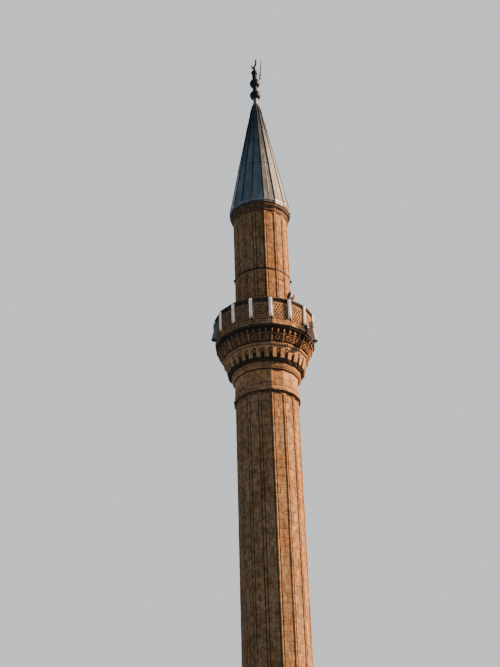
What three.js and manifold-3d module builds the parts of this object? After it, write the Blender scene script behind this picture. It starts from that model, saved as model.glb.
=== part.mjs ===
// A sixteen-sided stone minaret with one balcony, from the ground to the crescent.
// Millimetres, +Z up, origin in the middle of the base's underside.
// A direction is an angle from -Y, positive towards +X, so angle 0 is the front.
import * as THREE from 'three';
import { ConvexGeometry } from 'three/addons/geometries/ConvexGeometry.js';
import { mergeVertices } from 'three/addons/utils/BufferGeometryUtils.js';
import Module from 'manifold-3d';

const wasm = await Module();
wasm.setup();

// Driving dimensions

const SIDES = 16;
const STEP = (2 * Math.PI) / SIDES;
const JOINT = 0.3;                 // mortar joint left between two pieces

const BASE_HALF = 1620;            // half the width of the square base
const BASE_WALL = 720;             // thickness of its walls
const PLINTH_TOP = 360;
const PLINTH_REACH = 70;
const BASE_TOP = 5080;
const BASE_CORNICE_TOP = 5330;
const BASE_DOOR_WIDTH = 820;
const BASE_DOOR_HEIGHT = 1950;

const TRANSITION_TOP = 7420;
const SHAFT_FOOT_TOP = 7640;
const SHAFT_TOP = 23420;
const SHAFT_RADIUS_FOOT = 1115;
const SHAFT_RADIUS_TOP = 1058;
const SHAFT_BORE = 790;            // radius of the room inside, to the corners

const COLLAR_TOP = 23610;
const DRUM_TOP = 24260;
const CARVED_RING_TOP = 24510;
const NICHE_COURSE_TOP = 25100;
const LOWER_TIER_TOP = 25360;
const UPPER_TIER_TOP = 25575;
const FLOOR_TOP = 25740;           // walking level of the balcony
const FLOOR_RADIUS = 1700;
const CORBEL_BORE = 745;

const NICHES = 30;
const NICHE_WIDTH = 134;
const NICHE_FOOT = 24600;
const NICHE_SPRING = 24868;        // where the round head begins
const NICHE_DEPTH_RADIUS = 1240;   // how far in the niches' backs lie
const LOWER_CELLS = 24;
const UPPER_CELLS = 48;

const PANEL_RADIUS = 1682;         // outer corners of the balustrade slabs
const PANEL_THICKNESS = 90;
const PANEL_TOP = 26570;
const RAIL_TOP = 26660;
const RAIL_RADIUS = 1712;
const RAIL_WIDTH = 150;
const POST_WIDTH = 130;
const POST_REACH = 62;             // how far a post stands out from its corner
const POST_FOOT = 25880;
const POST_TOP = 26550;
const POST_DEPTH = 150;
const POST_MARGIN = 8;             // slab shown past a post before the joint
const SECTIONS = 8;                // lengths of balustrade, two bays each

const UPPER_RADIUS = 967;
const UPPER_BORE = 705;
const UPPER_TOP = 30680;
const UPPER_DOOR_WIDTH = 620;
const UPPER_DOOR_HEIGHT = 1700;
const HOOP_FOOT = 28235;
const HOOP_HEIGHT = 50;
const CORNICE_TOP = 31060;

const EAVE_TOP = 31140;
const CONE_RADIUS = 1068;          // at the top of the eave
const CONE_TIP_RADIUS = 120;
const CONE_TOP = 36150;
const CONE_JOINTS = [32970, 34830, 35700];
const CONE_SHELL = 60;             // boards and lead together
const SEAM_HALF = 26;              // half the width of a raised seam
const SEAM_HEIGHT = 30;

const RIB_HALF = 58;               // half the width of a corner rib with its grooves
const ROLL_HALF = 34;
const GROOVE_DEPTH = 18;
const ROLL_REACH = 8;              // how far the roll stands out from the corner

const SPEAKER_RADIUS = 110;
const SPEAKER_OUT = 1835;          // from the tower's axis to the horn's axis at its arm
const SPEAKER_LEAN = 6;            // degrees that the mouth swings outwards
const SPEAKER_ARM = 30;
const SPEAKERS = [
  { name: 'speaker_left', angle: -60, foot: 25510, length: 650 },
  { name: 'speaker_right', angle: 62, foot: 25270, length: 780 },
];
const RAIL_SPEAKER_ANGLE = 39.5;
const RAIL_SPEAKER_RADIUS = 135;
const RAIL_SPEAKER_LENGTH = 200;
const RAIL_SPEAKER_LIFT = 155;     // from the rail up to the horn's axis at its stand
const RAIL_SPEAKER_LEAN = 10;      // degrees that the mouth looks up
const RAIL_SPEAKER_TURN = 20;      // degrees that the mouth looks in over the walkway

const ROD_OUT = 226;               // lightning rod at its clips, from the finial's axis
const ROD_LEAN = 2.3;              // degrees that the rod leans outwards
const ROD_CLIPS = [37425, 37565];
const ROD_FOOT = 37370;
const ROD_SLEEVE_TOP = 37760;
const ROD_TIP = 38360;
const CRESCENT_RADIUS = 185;
const CRESCENT_LEAN = 20;          // degrees that the crescent has bent over

// Materials

const surface = (color, roughness, metalness) =>
  new THREE.MeshStandardMaterial({ color, roughness, metalness });
const limestone = () => surface(0xb99a78, 0.9, 0);
const lead = () => surface(0x77818a, 0.5, 0.7);
const bronze = () => surface(0x4a3f2c, 0.55, 0.8);
const iron = () => surface(0x3b3633, 0.6, 0.9);
const greyPaint = () => surface(0x8b938f, 0.55, 0.3);

const minaret = new THREE.Group();

// Solids: closed geometry in, closed geometry out

function welded(geometry) {
  geometry.deleteAttribute('normal');
  geometry.deleteAttribute('uv');
  return mergeVertices(geometry, 1e-3);
}

function toManifold(geometry) {
  const shape = welded(geometry);
  const vertProperties = Float32Array.from(shape.getAttribute('position').array);
  const triVerts = Uint32Array.from(shape.getIndex().array);
  return new wasm.Manifold(new wasm.Mesh({ numProp: 3, vertProperties, triVerts }));
}

function fromManifold(solid) {
  const mesh = solid.getMesh();
  const geometry = new THREE.BufferGeometry();
  geometry.setAttribute('position', new THREE.BufferAttribute(mesh.vertProperties, 3));
  geometry.setIndex(new THREE.BufferAttribute(mesh.triVerts, 1));
  return geometry;
}

function add(name, geometry, material) {
  const mesh = new THREE.Mesh(welded(geometry), material);
  mesh.geometry.computeVertexNormals();
  mesh.name = name;
  minaret.add(mesh);
}

function box(x0, x1, y0, y1, z0, z1) {
  const geometry = new THREE.BoxGeometry(x1 - x0, y1 - y0, z1 - z0);
  return geometry.translate((x0 + x1) / 2, (y0 + y1) / 2, (z0 + z1) / 2);
}

// A point at a radius and an angle from -Y
function polar(radius, angle) {
  return new THREE.Vector2(radius * Math.sin(angle), -radius * Math.cos(angle));
}

// The angle of corner k: a flat face looks towards -Y
const cornerAngle = (k) => (k + 0.5) * STEP;

// Extrudes an outline in plan between two heights
function prism(points, z0, z1, hole) {
  const shape = new THREE.Shape(points);
  if (hole) shape.holes.push(new THREE.Path(hole));
  const geometry = new THREE.ExtrudeGeometry(shape, { depth: z1 - z0, bevelEnabled: false });
  return geometry.translate(0, 0, z0);
}

// Turns a closed profile of [radius, height] pairs round the axis, with flat sides
function ring(profile, sides = SIDES, startAngle = STEP / 2) {
  const points = profile.map(([radius, height]) => new THREE.Vector2(radius, height));
  points.push(points[0].clone());
  return new THREE.LatheGeometry(points, sides, startAngle).rotateX(Math.PI / 2);
}

// Turns a profile that starts and ends on the axis
function turned(profile, sides = 24) {
  const points = profile.map(([radius, height]) => new THREE.Vector2(radius, height));
  return new THREE.LatheGeometry(points, sides).rotateX(Math.PI / 2);
}

// Narrows a tall prism evenly towards its top
function taper(geometry, z0, z1, topScale) {
  const position = geometry.getAttribute('position');
  for (let i = 0; i < position.count; i += 1) {
    const t = (position.getZ(i) - z0) / (z1 - z0);
    const scale = 1 + (topScale - 1) * t;
    position.setXY(i, position.getX(i) * scale, position.getY(i) * scale);
  }
  return geometry;
}

// The rib on one corner in plan: a roll between two grooves, from left to right
function ribOutline(radius, k) {
  const flat = radius - ROLL_REACH;
  const fall = Math.tan(STEP / 2);
  const halves = [
    [RIB_HALF, -RIB_HALF * fall],
    [RIB_HALF - 14, -GROOVE_DEPTH - RIB_HALF * fall],
    [ROLL_HALF, -GROOVE_DEPTH * 0.8],
    [ROLL_HALF * 0.6, ROLL_REACH * 0.35],
  ];
  const left = halves.map(([side, out]) => [-side, out]);
  const right = [...halves].reverse();
  const along = polar(1, cornerAngle(k));
  const across = polar(1, cornerAngle(k) + Math.PI / 2);
  return [...left, [0, ROLL_REACH], ...right].map(([side, out]) =>
    new THREE.Vector2()
      .addScaledVector(along, flat + out)
      .addScaledVector(across, side));
}

// A quarter of a ribbed wall in plan, between the middles of two flat faces
function ribbedQuarter(radius, bore, quarter) {
  const middle = quarter * (Math.PI / 2);
  const half = Math.PI / 4;
  const joint = JOINT / 2 / bore;
  const apothem = Math.cos(STEP / 2);
  const flat = (radius - ROLL_REACH) * apothem;
  const from = middle - half + joint;
  const to = middle + half - joint;
  const points = [polar(flat, from)];
  const first = quarter * 4 - 2;
  for (let k = first; k < first + 4; k += 1) points.push(...ribOutline(radius, k));
  points.push(polar(flat, to));
  points.push(polar(bore * apothem, to));
  for (let k = first + 3; k >= first; k -= 1) points.push(polar(bore, cornerAngle(k)));
  points.push(polar(bore * apothem, from));
  return points;
}

// Square base: a plinth, walls round a room with a doorway at the back, a cornice

function addBase() {
  const outer = BASE_HALF;
  const inner = BASE_HALF - BASE_WALL;
  const foot = PLINTH_TOP + JOINT;
  const top = BASE_TOP - JOINT;
  const door = BASE_DOOR_WIDTH / 2;
  const head = foot + BASE_DOOR_HEIGHT;
  const reach = (outer + PLINTH_REACH) * Math.SQRT2;
  const plinth = [
    [0, 0],
    [reach, 0],
    [reach, PLINTH_TOP - 60],
    [outer * Math.SQRT2, PLINTH_TOP],
    [0, PLINTH_TOP],
  ];
  const points = plinth.map(([radius, height]) => new THREE.Vector2(radius, height));
  const block = new THREE.LatheGeometry(points, 4, Math.PI / 4).rotateX(Math.PI / 2);
  add('base_plinth', block, limestone());
  add('base_wall_front', box(-outer, outer, -outer, -inner, foot, top), limestone());
  const sideEnd = inner - JOINT;
  add('base_wall_left', box(-outer, -inner, -sideEnd, sideEnd, foot, top), limestone());
  add('base_wall_right', box(inner, outer, -sideEnd, sideEnd, foot, top), limestone());
  add('base_wall_back_left', box(-outer, -door, inner, outer, foot, head), limestone());
  add('base_wall_back_right', box(door, outer, inner, outer, foot, head), limestone());
  add('base_wall_over_door', box(-outer, outer, inner, outer, head + JOINT, top), limestone());
  const bore = inner * Math.SQRT2;
  const edge = outer * Math.SQRT2;
  const cornice = [
    [bore, BASE_TOP],
    [edge + 30, BASE_TOP],
    [edge + 40, BASE_TOP + 70],
    [edge + 110, BASE_TOP + 150],
    [edge + 110, BASE_CORNICE_TOP - 30],
    [edge + 60, BASE_CORNICE_TOP],
    [bore, BASE_CORNICE_TOP],
  ];
  add('base_cornice', ring(cornice, 4, Math.PI / 4), limestone());
}

// From the square to sixteen sides: long triangles fold between the two outlines

function addTransition() {
  const foot = BASE_CORNICE_TOP + JOINT;
  const top = TRANSITION_TOP - JOINT;
  const half = BASE_HALF - 10;
  const points = [];
  for (const x of [-half, half]) {
    for (const y of [-half, half]) points.push(new THREE.Vector3(x, y, foot));
  }
  for (let k = 0; k < SIDES; k += 1) {
    const p = polar(SHAFT_RADIUS_FOOT + 25, cornerAngle(k));
    points.push(new THREE.Vector3(p.x, p.y, top));
  }
  const boreOutline = [];
  for (let k = 0; k < SIDES; k += 1) boreOutline.push(polar(SHAFT_BORE, cornerAngle(k)));
  const mass = toManifold(new ConvexGeometry(points));
  const bore = toManifold(prism(boreOutline, foot - 100, top + 100));
  const shell = mass.subtract(bore);
  const reach = 2 * BASE_HALF;
  const names = ['front', 'right', 'back', 'left'];
  names.forEach((name, quarter) => {
    const middle = quarter * (Math.PI / 2);
    const offset = polar(JOINT, middle);
    const wedge = [
      offset,
      polar(reach, middle - Math.PI / 4).add(offset),
      polar(reach, middle + Math.PI / 4).add(offset),
    ];
    const piece = shell.intersect(toManifold(prism(wedge, foot - 50, top + 50)));
    add(`transition_${name}`, fromManifold(piece), limestone());
  });
}

// Ribbed shaft in four quarters, on a moulded foot

function addShaft() {
  const bore = SHAFT_BORE;
  const foot = [
    [bore, TRANSITION_TOP],
    [SHAFT_RADIUS_FOOT + 30, TRANSITION_TOP],
    [SHAFT_RADIUS_FOOT + 85, TRANSITION_TOP + 50],
    [SHAFT_RADIUS_FOOT + 100, TRANSITION_TOP + 105],
    [SHAFT_RADIUS_FOOT + 80, TRANSITION_TOP + 160],
    [SHAFT_RADIUS_FOOT + 25, SHAFT_FOOT_TOP],
    [bore, SHAFT_FOOT_TOP],
  ];
  add('shaft_foot_moulding', ring(foot), limestone());
  const z0 = SHAFT_FOOT_TOP + JOINT;
  const z1 = SHAFT_TOP - JOINT;
  const narrowing = SHAFT_RADIUS_TOP / SHAFT_RADIUS_FOOT;
  ['front', 'right', 'back', 'left'].forEach((name, quarter) => {
    const plan = ribbedQuarter(SHAFT_RADIUS_FOOT, bore, quarter);
    add(`shaft_wall_${name}`, taper(prism(plan, z0, z1), z0, z1, narrowing), limestone());
  });
}

// Collar, carved ring and the courses that carry the balcony

function addCollar() {
  const bore = CORBEL_BORE;
  const moulding = [
    [bore, SHAFT_TOP],
    [1062, SHAFT_TOP],
    [1112, SHAFT_TOP + 35],
    [1118, SHAFT_TOP + 70],
    [1108, SHAFT_TOP + 110],
    [1078, COLLAR_TOP],
    [bore, COLLAR_TOP],
  ];
  const foot = COLLAR_TOP + JOINT;
  const drum = [
    [bore, foot],
    [1074, foot],
    [1074, foot + 75],
    [1084, foot + 85],
    [1084, foot + 105],
    [1070, foot + 115],
    [1066, DRUM_TOP],
    [bore, DRUM_TOP],
  ];
  const ringFoot = DRUM_TOP + JOINT;
  const carved = [
    [bore, ringFoot],
    [1080, ringFoot],
    [1084, ringFoot + 18],
    [1130, ringFoot + 28],
    [1160, ringFoot + 75],
    [1172, ringFoot + 140],
    [1166, ringFoot + 205],
    [1150, CARVED_RING_TOP],
    [bore, CARVED_RING_TOP],
  ];
  add('collar_moulding', ring(moulding), limestone());
  add('collar_drum', ring(drum), limestone());
  add('carved_ring', ring(carved), limestone());
}

// One round-headed niche, cut along the radius
function nicheCutter(index) {
  const shape = new THREE.Shape();
  const half = NICHE_WIDTH / 2;
  shape.moveTo(-half, NICHE_FOOT);
  shape.lineTo(half, NICHE_FOOT);
  shape.lineTo(half, NICHE_SPRING);
  shape.absarc(0, NICHE_SPRING, half, 0, Math.PI, false);
  const depth = 300;
  const geometry = new THREE.ExtrudeGeometry(shape, { depth, bevelEnabled: false, curveSegments: 6 });
  geometry.rotateX(Math.PI / 2);
  geometry.translate(0, -NICHE_DEPTH_RADIUS, 0);
  return toManifold(geometry.rotateZ(index * (2 * Math.PI / NICHES) + STEP / 2));
}

function addCorbels() {
  const bore = CORBEL_BORE;
  const foot = CARVED_RING_TOP + JOINT;
  const course = [
    [bore, foot],
    [1160, foot],
    [1185, foot + 20],
    [1288, foot + 70],
    [1302, foot + 88],
    [1385, NICHE_COURSE_TOP - 130],
    [1430, NICHE_COURSE_TOP - 115],
    [1446, NICHE_COURSE_TOP - 60],
    [1430, NICHE_COURSE_TOP],
    [bore, NICHE_COURSE_TOP],
  ];
  let niches = toManifold(ring(course));
  for (let i = 0; i < NICHES; i += 1) niches = niches.subtract(nicheCutter(i));
  add('niche_course', fromManifold(niches), limestone());
  add('corbel_tier_lower',
    corbelTier(LOWER_CELLS, 1470, 1400, NICHE_COURSE_TOP + JOINT, LOWER_TIER_TOP, 1.065), limestone());
  add('corbel_tier_upper',
    corbelTier(UPPER_CELLS, 1580, 1520, LOWER_TIER_TOP + JOINT, UPPER_TIER_TOP, 1.04), limestone());
}

// A course of pointed cells: ribs stand at the outer radius, hollows lie at the inner one,
// both on sixteen flat sides, and the course widens towards its top
function corbelTier(cells, outRadius, inRadius, z0, z1, widening) {
  const points = [];
  const bore = [];
  for (let i = 0; i < cells * 2; i += 1) {
    const angle = STEP / 2 + (i * Math.PI) / cells;
    const within = ((angle - STEP / 2) % STEP) - STEP / 2;
    const flat = Math.cos(STEP / 2) / Math.cos(within);
    points.push(polar((i % 2 === 0 ? outRadius : inRadius) * flat, angle));
  }
  for (let k = SIDES - 1; k >= 0; k -= 1) bore.push(polar(CORBEL_BORE / widening, cornerAngle(k)));
  return taper(prism(points, z0, z1, bore), z0, z1, widening);
}

// Balcony floor, which also closes the shaft at the upper door's level

function addFloor() {
  const foot = UPPER_TIER_TOP + JOINT;
  const slab = [
    [0, foot],
    [FLOOR_RADIUS - 15, foot],
    [FLOOR_RADIUS, foot + 20],
    [FLOOR_RADIUS, FLOOR_TOP - 15],
    [FLOOR_RADIUS - 15, FLOOR_TOP],
    [0, FLOOR_TOP],
  ];
  const points = slab.map(([radius, height]) => new THREE.Vector2(radius, height));
  const lathe = new THREE.LatheGeometry(points, SIDES, STEP / 2).rotateX(Math.PI / 2);
  add('balcony_floor', lathe, limestone());
}

// Balustrade: each length is two slabs and two corner posts, under one rail

function addBalustrade() {
  const foot = FLOOR_TOP + JOINT;
  const inner = PANEL_RADIUS - PANEL_THICKNESS / Math.cos(STEP / 2);
  const pastPost = (POST_WIDTH / 2 + POST_MARGIN) / inner;
  const joint = JOINT / inner;
  for (let s = 0; s < SECTIONS; s += 1) {
    const first = s * 2;
    const last = first + 2;
    const outline = [
      pointOnSide(PANEL_RADIUS, first, pastPost),
      polar(PANEL_RADIUS, cornerAngle(first + 1)),
      polar(PANEL_RADIUS, cornerAngle(last)),
      pointOnSide(PANEL_RADIUS, last, pastPost - joint),
      pointOnSide(inner, last, pastPost - joint),
      polar(inner, cornerAngle(last)),
      polar(inner, cornerAngle(first + 1)),
      pointOnSide(inner, first, pastPost),
    ];
    let length = toManifold(prism(outline, foot, PANEL_TOP));
    for (const k of [first + 1, last]) length = length.add(toManifold(post(k)));
    add(`balustrade_${s + 1}`, fromManifold(length), limestone());
  }
  const railFoot = PANEL_TOP + JOINT;
  const rail = [
    [RAIL_RADIUS - RAIL_WIDTH, railFoot],
    [RAIL_RADIUS - 12, railFoot],
    [RAIL_RADIUS, railFoot + 15],
    [RAIL_RADIUS, RAIL_TOP - 25],
    [RAIL_RADIUS - 25, RAIL_TOP],
    [RAIL_RADIUS - RAIL_WIDTH, RAIL_TOP],
  ];
  add('balcony_rail', ring(rail), limestone());
}

// A point on the flat side after corner k, at a small angle past that corner
function pointOnSide(radius, k, past) {
  const fromMiddle = STEP / 2 - past;
  const distance = (radius * Math.cos(STEP / 2)) / Math.cos(fromMiddle);
  return polar(distance, cornerAngle(k) + past);
}

function post(k) {
  const half = POST_WIDTH / 2;
  const out = PANEL_RADIUS + POST_REACH;
  const geometry = box(-half, half, -out, -out + POST_DEPTH, POST_FOOT, POST_TOP);
  return geometry.rotateZ(cornerAngle(k));
}

// Upper shaft with its doorway at the back, an iron hoop and the cornice

function addUpperShaft() {
  const z0 = FLOOR_TOP + JOINT;
  const z1 = UPPER_TOP - JOINT;
  const head = z0 + UPPER_DOOR_HEIGHT;
  const door = UPPER_DOOR_WIDTH / 2;
  const quarter = (index, foot, top) =>
    prism(ribbedQuarter(UPPER_RADIUS, UPPER_BORE, index), foot, top);
  add('upper_wall_front', quarter(0, z0, z1), limestone());
  add('upper_wall_right', quarter(1, z0, z1), limestone());
  add('upper_wall_left', quarter(3, z0, z1), limestone());
  const jambs = toManifold(quarter(2, z0, head));
  const reach = 2 * UPPER_RADIUS;
  const leftHalf = toManifold(box(-reach, -door, 0, reach, z0 - 50, head + 50));
  const rightHalf = toManifold(box(door, reach, 0, reach, z0 - 50, head + 50));
  add('upper_wall_back_left', fromManifold(jambs.intersect(leftHalf)), limestone());
  add('upper_wall_back_right', fromManifold(jambs.intersect(rightHalf)), limestone());
  add('upper_wall_over_door', quarter(2, head + JOINT, z1), limestone());
  const hoopInner = UPPER_RADIUS + 1;
  const hoopOuter = UPPER_RADIUS + 12;
  const hoop = [
    [hoopInner, HOOP_FOOT],
    [hoopOuter, HOOP_FOOT],
    [hoopOuter, HOOP_FOOT + HOOP_HEIGHT],
    [hoopInner, HOOP_FOOT + HOOP_HEIGHT],
  ];
  add('iron_hoop', ring(hoop), iron());
  const cornice = [
    [UPPER_BORE, UPPER_TOP],
    [970, UPPER_TOP],
    [985, UPPER_TOP + 60],
    [1005, UPPER_TOP + 110],
    [1040, UPPER_TOP + 190],
    [1048, UPPER_TOP + 260],
    [1048, CORNICE_TOP],
    [UPPER_BORE, CORNICE_TOP],
  ];
  add('upper_cornice', ring(cornice), limestone());
}

// Lead cone: three rows of sheets on boards, with a raised seam on every corner

const coneRadius = (z) =>
  CONE_RADIUS + ((CONE_TIP_RADIUS - CONE_RADIUS) * (z - EAVE_TOP)) / (CONE_TOP - EAVE_TOP);

// One row of sheets: each outline point slides towards the axis along its own corner
function sheetRow(z0, z1) {
  const low = coneRadius(z0);
  const inwards = low - coneRadius(z1);
  const outline = [];
  const bore = [];
  for (let k = 0; k < SIDES; k += 1) {
    const along = polar(1, cornerAngle(k));
    const across = polar(1, cornerAngle(k) + Math.PI / 2);
    const fall = Math.tan(STEP / 2);
    const seam = [
      [-SEAM_HALF, -SEAM_HALF * fall],
      [-SEAM_HALF * 0.7, SEAM_HEIGHT * 0.8],
      [0, SEAM_HEIGHT],
      [SEAM_HALF * 0.7, SEAM_HEIGHT * 0.8],
      [SEAM_HALF, -SEAM_HALF * fall],
    ];
    for (const [side, out] of seam) {
      outline.push(new THREE.Vector2()
        .addScaledVector(along, low + out)
        .addScaledVector(across, side));
    }
    bore.unshift(polar(low - CONE_SHELL, cornerAngle(k)));
  }
  const geometry = prism(outline, z0, z1, bore);
  const position = geometry.getAttribute('position');
  for (let i = 0; i < position.count; i += 1) {
    if (position.getZ(i) < (z0 + z1) / 2) continue;
    const angle = Math.atan2(position.getX(i), -position.getY(i));
    const k = Math.round(angle / STEP - 0.5);
    const shift = polar(inwards, cornerAngle(k));
    position.setXY(i, position.getX(i) - shift.x, position.getY(i) - shift.y);
  }
  return geometry;
}

function addCone() {
  const foot = CORNICE_TOP + JOINT;
  const eave = [
    [UPPER_BORE, foot],
    [1050, foot],
    [1092, foot + 8],
    [1098, foot + 40],
    [CONE_RADIUS + 14, EAVE_TOP],
    [UPPER_BORE, EAVE_TOP],
  ];
  add('cone_eave', ring(eave), lead());
  const names = ['lower', 'middle', 'upper'];
  const feet = [EAVE_TOP, CONE_JOINTS[0], CONE_JOINTS[1]];
  names.forEach((name, i) => {
    add(`cone_sheets_${name}`, sheetRow(feet[i] + JOINT, CONE_JOINTS[i]), lead());
  });
  const capFoot = CONE_JOINTS[2] + JOINT;
  const reach = coneRadius(capFoot) + SEAM_HEIGHT;
  const cap = [
    [0, capFoot],
    [reach, capFoot],
    [CONE_TIP_RADIUS + 6, CONE_TOP - 20],
    [CONE_TIP_RADIUS - 20, CONE_TOP],
    [0, CONE_TOP],
  ];
  add('cone_cap', turned(cap, SIDES), lead());
}

// Finial: three balls on necks and a crescent, with a lightning rod beside them

const BALLS = [
  { name: 'lower', radius: 202, middle: 36620, neck: 80, top: 37015 },
  { name: 'middle', radius: 190, middle: 37190, neck: 78, top: 37610 },
  { name: 'upper', radius: 120, middle: 37722, neck: 40, top: 37965 },
];
const NECK_TOP = 36436;

function addFinial() {
  const foot = CONE_TOP + JOINT;
  const neck = [
    [0, foot],
    [106, foot],
    [104, foot + 22],
    [90, foot + 60],
    [80, foot + 190],
    [88, NECK_TOP],
    [0, NECK_TOP],
  ];
  add('finial_neck', turned(neck, 20), bronze());
  let seat = NECK_TOP + JOINT;
  for (const ball of BALLS) {
    add(`finial_ball_${ball.name}`, turned(ballProfile(ball, seat), 24), bronze());
    seat = ball.top + JOINT;
  }
  addCrescent(seat);
}

// A ball cut flat where it is seated, running up into the neck above it
function ballProfile({ radius, middle, neck, top }, seat) {
  const low = Math.asin((seat - middle) / radius);
  const high = Math.acos(neck / radius);
  const arcs = 9;
  const points = [[0, seat]];
  for (let i = 0; i <= arcs; i += 1) {
    const angle = low + ((high - low) * i) / arcs;
    points.push([radius * Math.cos(angle), middle + radius * Math.sin(angle)]);
  }
  points.push([neck, top], [0, top]);
  return points;
}

// Two circles through the same two tips, bent over to the left and turned off the front
function addCrescent(seat) {
  const outer = CRESCENT_RADIUS;
  const innerLift = 45;
  const thickness = 26;
  const opening = Math.PI * 0.2;
  const tipX = outer * Math.sin(opening);
  const tipFall = outer * Math.cos(opening) - innerLift;
  const shape = new THREE.Shape();
  shape.absarc(0, outer, outer, Math.PI / 2 - opening, Math.PI / 2 + opening, true);
  const tipAngle = Math.atan2(tipFall, -tipX);
  shape.absarc(0, outer + innerLift, Math.hypot(tipX, tipFall), tipAngle, Math.PI - tipAngle, false);
  const geometry = new THREE.ExtrudeGeometry(shape, {
    depth: thickness, bevelEnabled: false, curveSegments: 20 });
  const lean = THREE.MathUtils.degToRad(CRESCENT_LEAN);
  geometry.translate(0, -outer, -thickness / 2).rotateZ(lean).translate(0, outer, 0);
  geometry.rotateX(Math.PI / 2).rotateZ(-Math.PI / 3);
  const stem = turned([[0, -4], [28, -4], [22, 20], [0, 20]], 12);
  const moon = toManifold(geometry).add(toManifold(stem));
  add('finial_crescent', fromManifold(moon).translate(0, 0, seat + 4), bronze());
}

// A thick foot and a thin rod above it, held by two arms on the neck of the middle ball
function addLightningRod() {
  const pivot = (ROD_CLIPS[0] + ROD_CLIPS[1]) / 2;
  const leaning = (radius, z0, z1) => {
    const geometry = new THREE.CylinderGeometry(radius, radius, z1 - z0, 10);
    geometry.rotateX(Math.PI / 2).translate(0, 0, (z0 + z1) / 2 - pivot);
    geometry.rotateY(THREE.MathUtils.degToRad(ROD_LEAN));
    return toManifold(geometry.translate(ROD_OUT, 0, pivot));
  };
  let rod = leaning(17, ROD_FOOT, ROD_SLEEVE_TOP).add(leaning(9, ROD_SLEEVE_TOP - 20, ROD_TIP));
  for (const height of ROD_CLIPS) {
    const arm = box(BALLS[1].neck + JOINT, ROD_OUT, -10, 10, height - 10, height + 10);
    rod = rod.add(toManifold(arm));
  }
  add('lightning_rod', fromManifold(rod), iron());
}

// A hollow horn with its mouth at the origin and its driver above
function hornProfile(radius, length) {
  return [
    [0, length],
    [radius * 0.62, length],
    [radius * 0.78, length * 0.96],
    [radius * 0.78, length * 0.7],
    [radius * 0.5, length * 0.66],
    [radius * 0.62, length * 0.5],
    [radius * 0.8, length * 0.25],
    [radius, 0],
    [radius - 8, 0],
    [radius * 0.72, length * 0.22],
    [radius * 0.45, length * 0.48],
    [0, length * 0.48],
  ].reverse();
}

// Horn loudspeaker with its mouth down and an arm back to the balustrade
function addSpeaker({ name, angle: degrees, foot, length }) {
  const angle = THREE.MathUtils.degToRad(degrees);
  const toArm = length * 0.86;
  const armHeight = foot + toArm;
  const horn = turned(hornProfile(SPEAKER_RADIUS, length), 20);
  horn.translate(0, 0, -toArm).rotateX(-THREE.MathUtils.degToRad(SPEAKER_LEAN));
  horn.translate(0, -SPEAKER_OUT, armHeight);
  const half = SPEAKER_ARM / 2;
  const wall = PANEL_RADIUS * Math.cos(STEP / 2);
  const side = Math.round(angle / STEP) * STEP;
  const slant = angle - side;
  const seat = wall / Math.cos(slant) + half * Math.tan(Math.abs(slant)) + JOINT;
  const arm = box(-half, half, -SPEAKER_OUT, -seat, armHeight - half, armHeight + half);
  const speaker = toManifold(horn).add(toManifold(arm));
  add(name, fromManifold(speaker).rotateZ(angle), greyPaint());
}

// A short horn that looks along the rail to the left and a little up, on a stand on the rail
function addRailSpeaker(name) {
  const middle = RAIL_RADIUS - RAIL_WIDTH / 2;
  const seat = RAIL_TOP + RAIL_SPEAKER_LIFT;
  const toStand = RAIL_SPEAKER_LENGTH * 0.8;
  const horn = turned(hornProfile(RAIL_SPEAKER_RADIUS, RAIL_SPEAKER_LENGTH), 20);
  horn.translate(0, 0, -toStand).rotateY(THREE.MathUtils.degToRad(90 + RAIL_SPEAKER_LEAN));
  horn.rotateZ(-THREE.MathUtils.degToRad(RAIL_SPEAKER_TURN)).translate(0, -middle, seat);
  const half = SPEAKER_ARM / 2;
  const stand = box(-half, half, -middle - half, -middle + half, RAIL_TOP + JOINT, seat);
  const speaker = toManifold(horn).add(toManifold(stand));
  const angle = THREE.MathUtils.degToRad(RAIL_SPEAKER_ANGLE);
  add(name, fromManifold(speaker).rotateZ(angle), greyPaint());
}

addBase();
addTransition();
addShaft();
addCollar();
addCorbels();
addFloor();
addBalustrade();
addUpperShaft();
addCone();
addFinial();
addLightningRod();
SPEAKERS.forEach(addSpeaker);
addRailSpeaker('speaker_on_rail');

export default minaret;
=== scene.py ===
"""A sixteen-sided stone minaret, dressed around its fixed CAD frame.

Metres, +Z up, origin in the middle of the base's underside. A direction is an angle from -Y,
positive towards +X, so angle 0 is the front. Side k of a ring of n sides looks to the angle
k * 360 / n, and its corners stand half a turn of one side to the left and right of it.
"""

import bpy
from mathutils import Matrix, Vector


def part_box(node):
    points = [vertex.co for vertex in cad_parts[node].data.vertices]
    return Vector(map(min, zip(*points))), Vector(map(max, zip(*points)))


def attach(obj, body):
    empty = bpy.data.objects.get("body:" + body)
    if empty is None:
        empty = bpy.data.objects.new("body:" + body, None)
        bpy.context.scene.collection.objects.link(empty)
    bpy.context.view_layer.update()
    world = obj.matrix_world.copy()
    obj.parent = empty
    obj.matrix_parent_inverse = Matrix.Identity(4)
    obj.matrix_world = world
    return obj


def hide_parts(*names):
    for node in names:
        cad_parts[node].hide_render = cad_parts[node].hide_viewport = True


bl_info = {
    "name": "Minaret Dresser",
    "version": (1, 0, 0),
    "blender": (4, 5, 0),
    "location": "View3D > Sidebar > Minaret",
    "description": "Jointed and carved stone, lead and metalwork around a minaret's fixed frame",
    "category": "Add Mesh",
}

from copy import deepcopy
from functools import reduce

import bpy
import numpy as np
from bpy.props import FloatProperty, FloatVectorProperty, IntProperty, PointerProperty
from mathutils import Matrix, Vector

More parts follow.
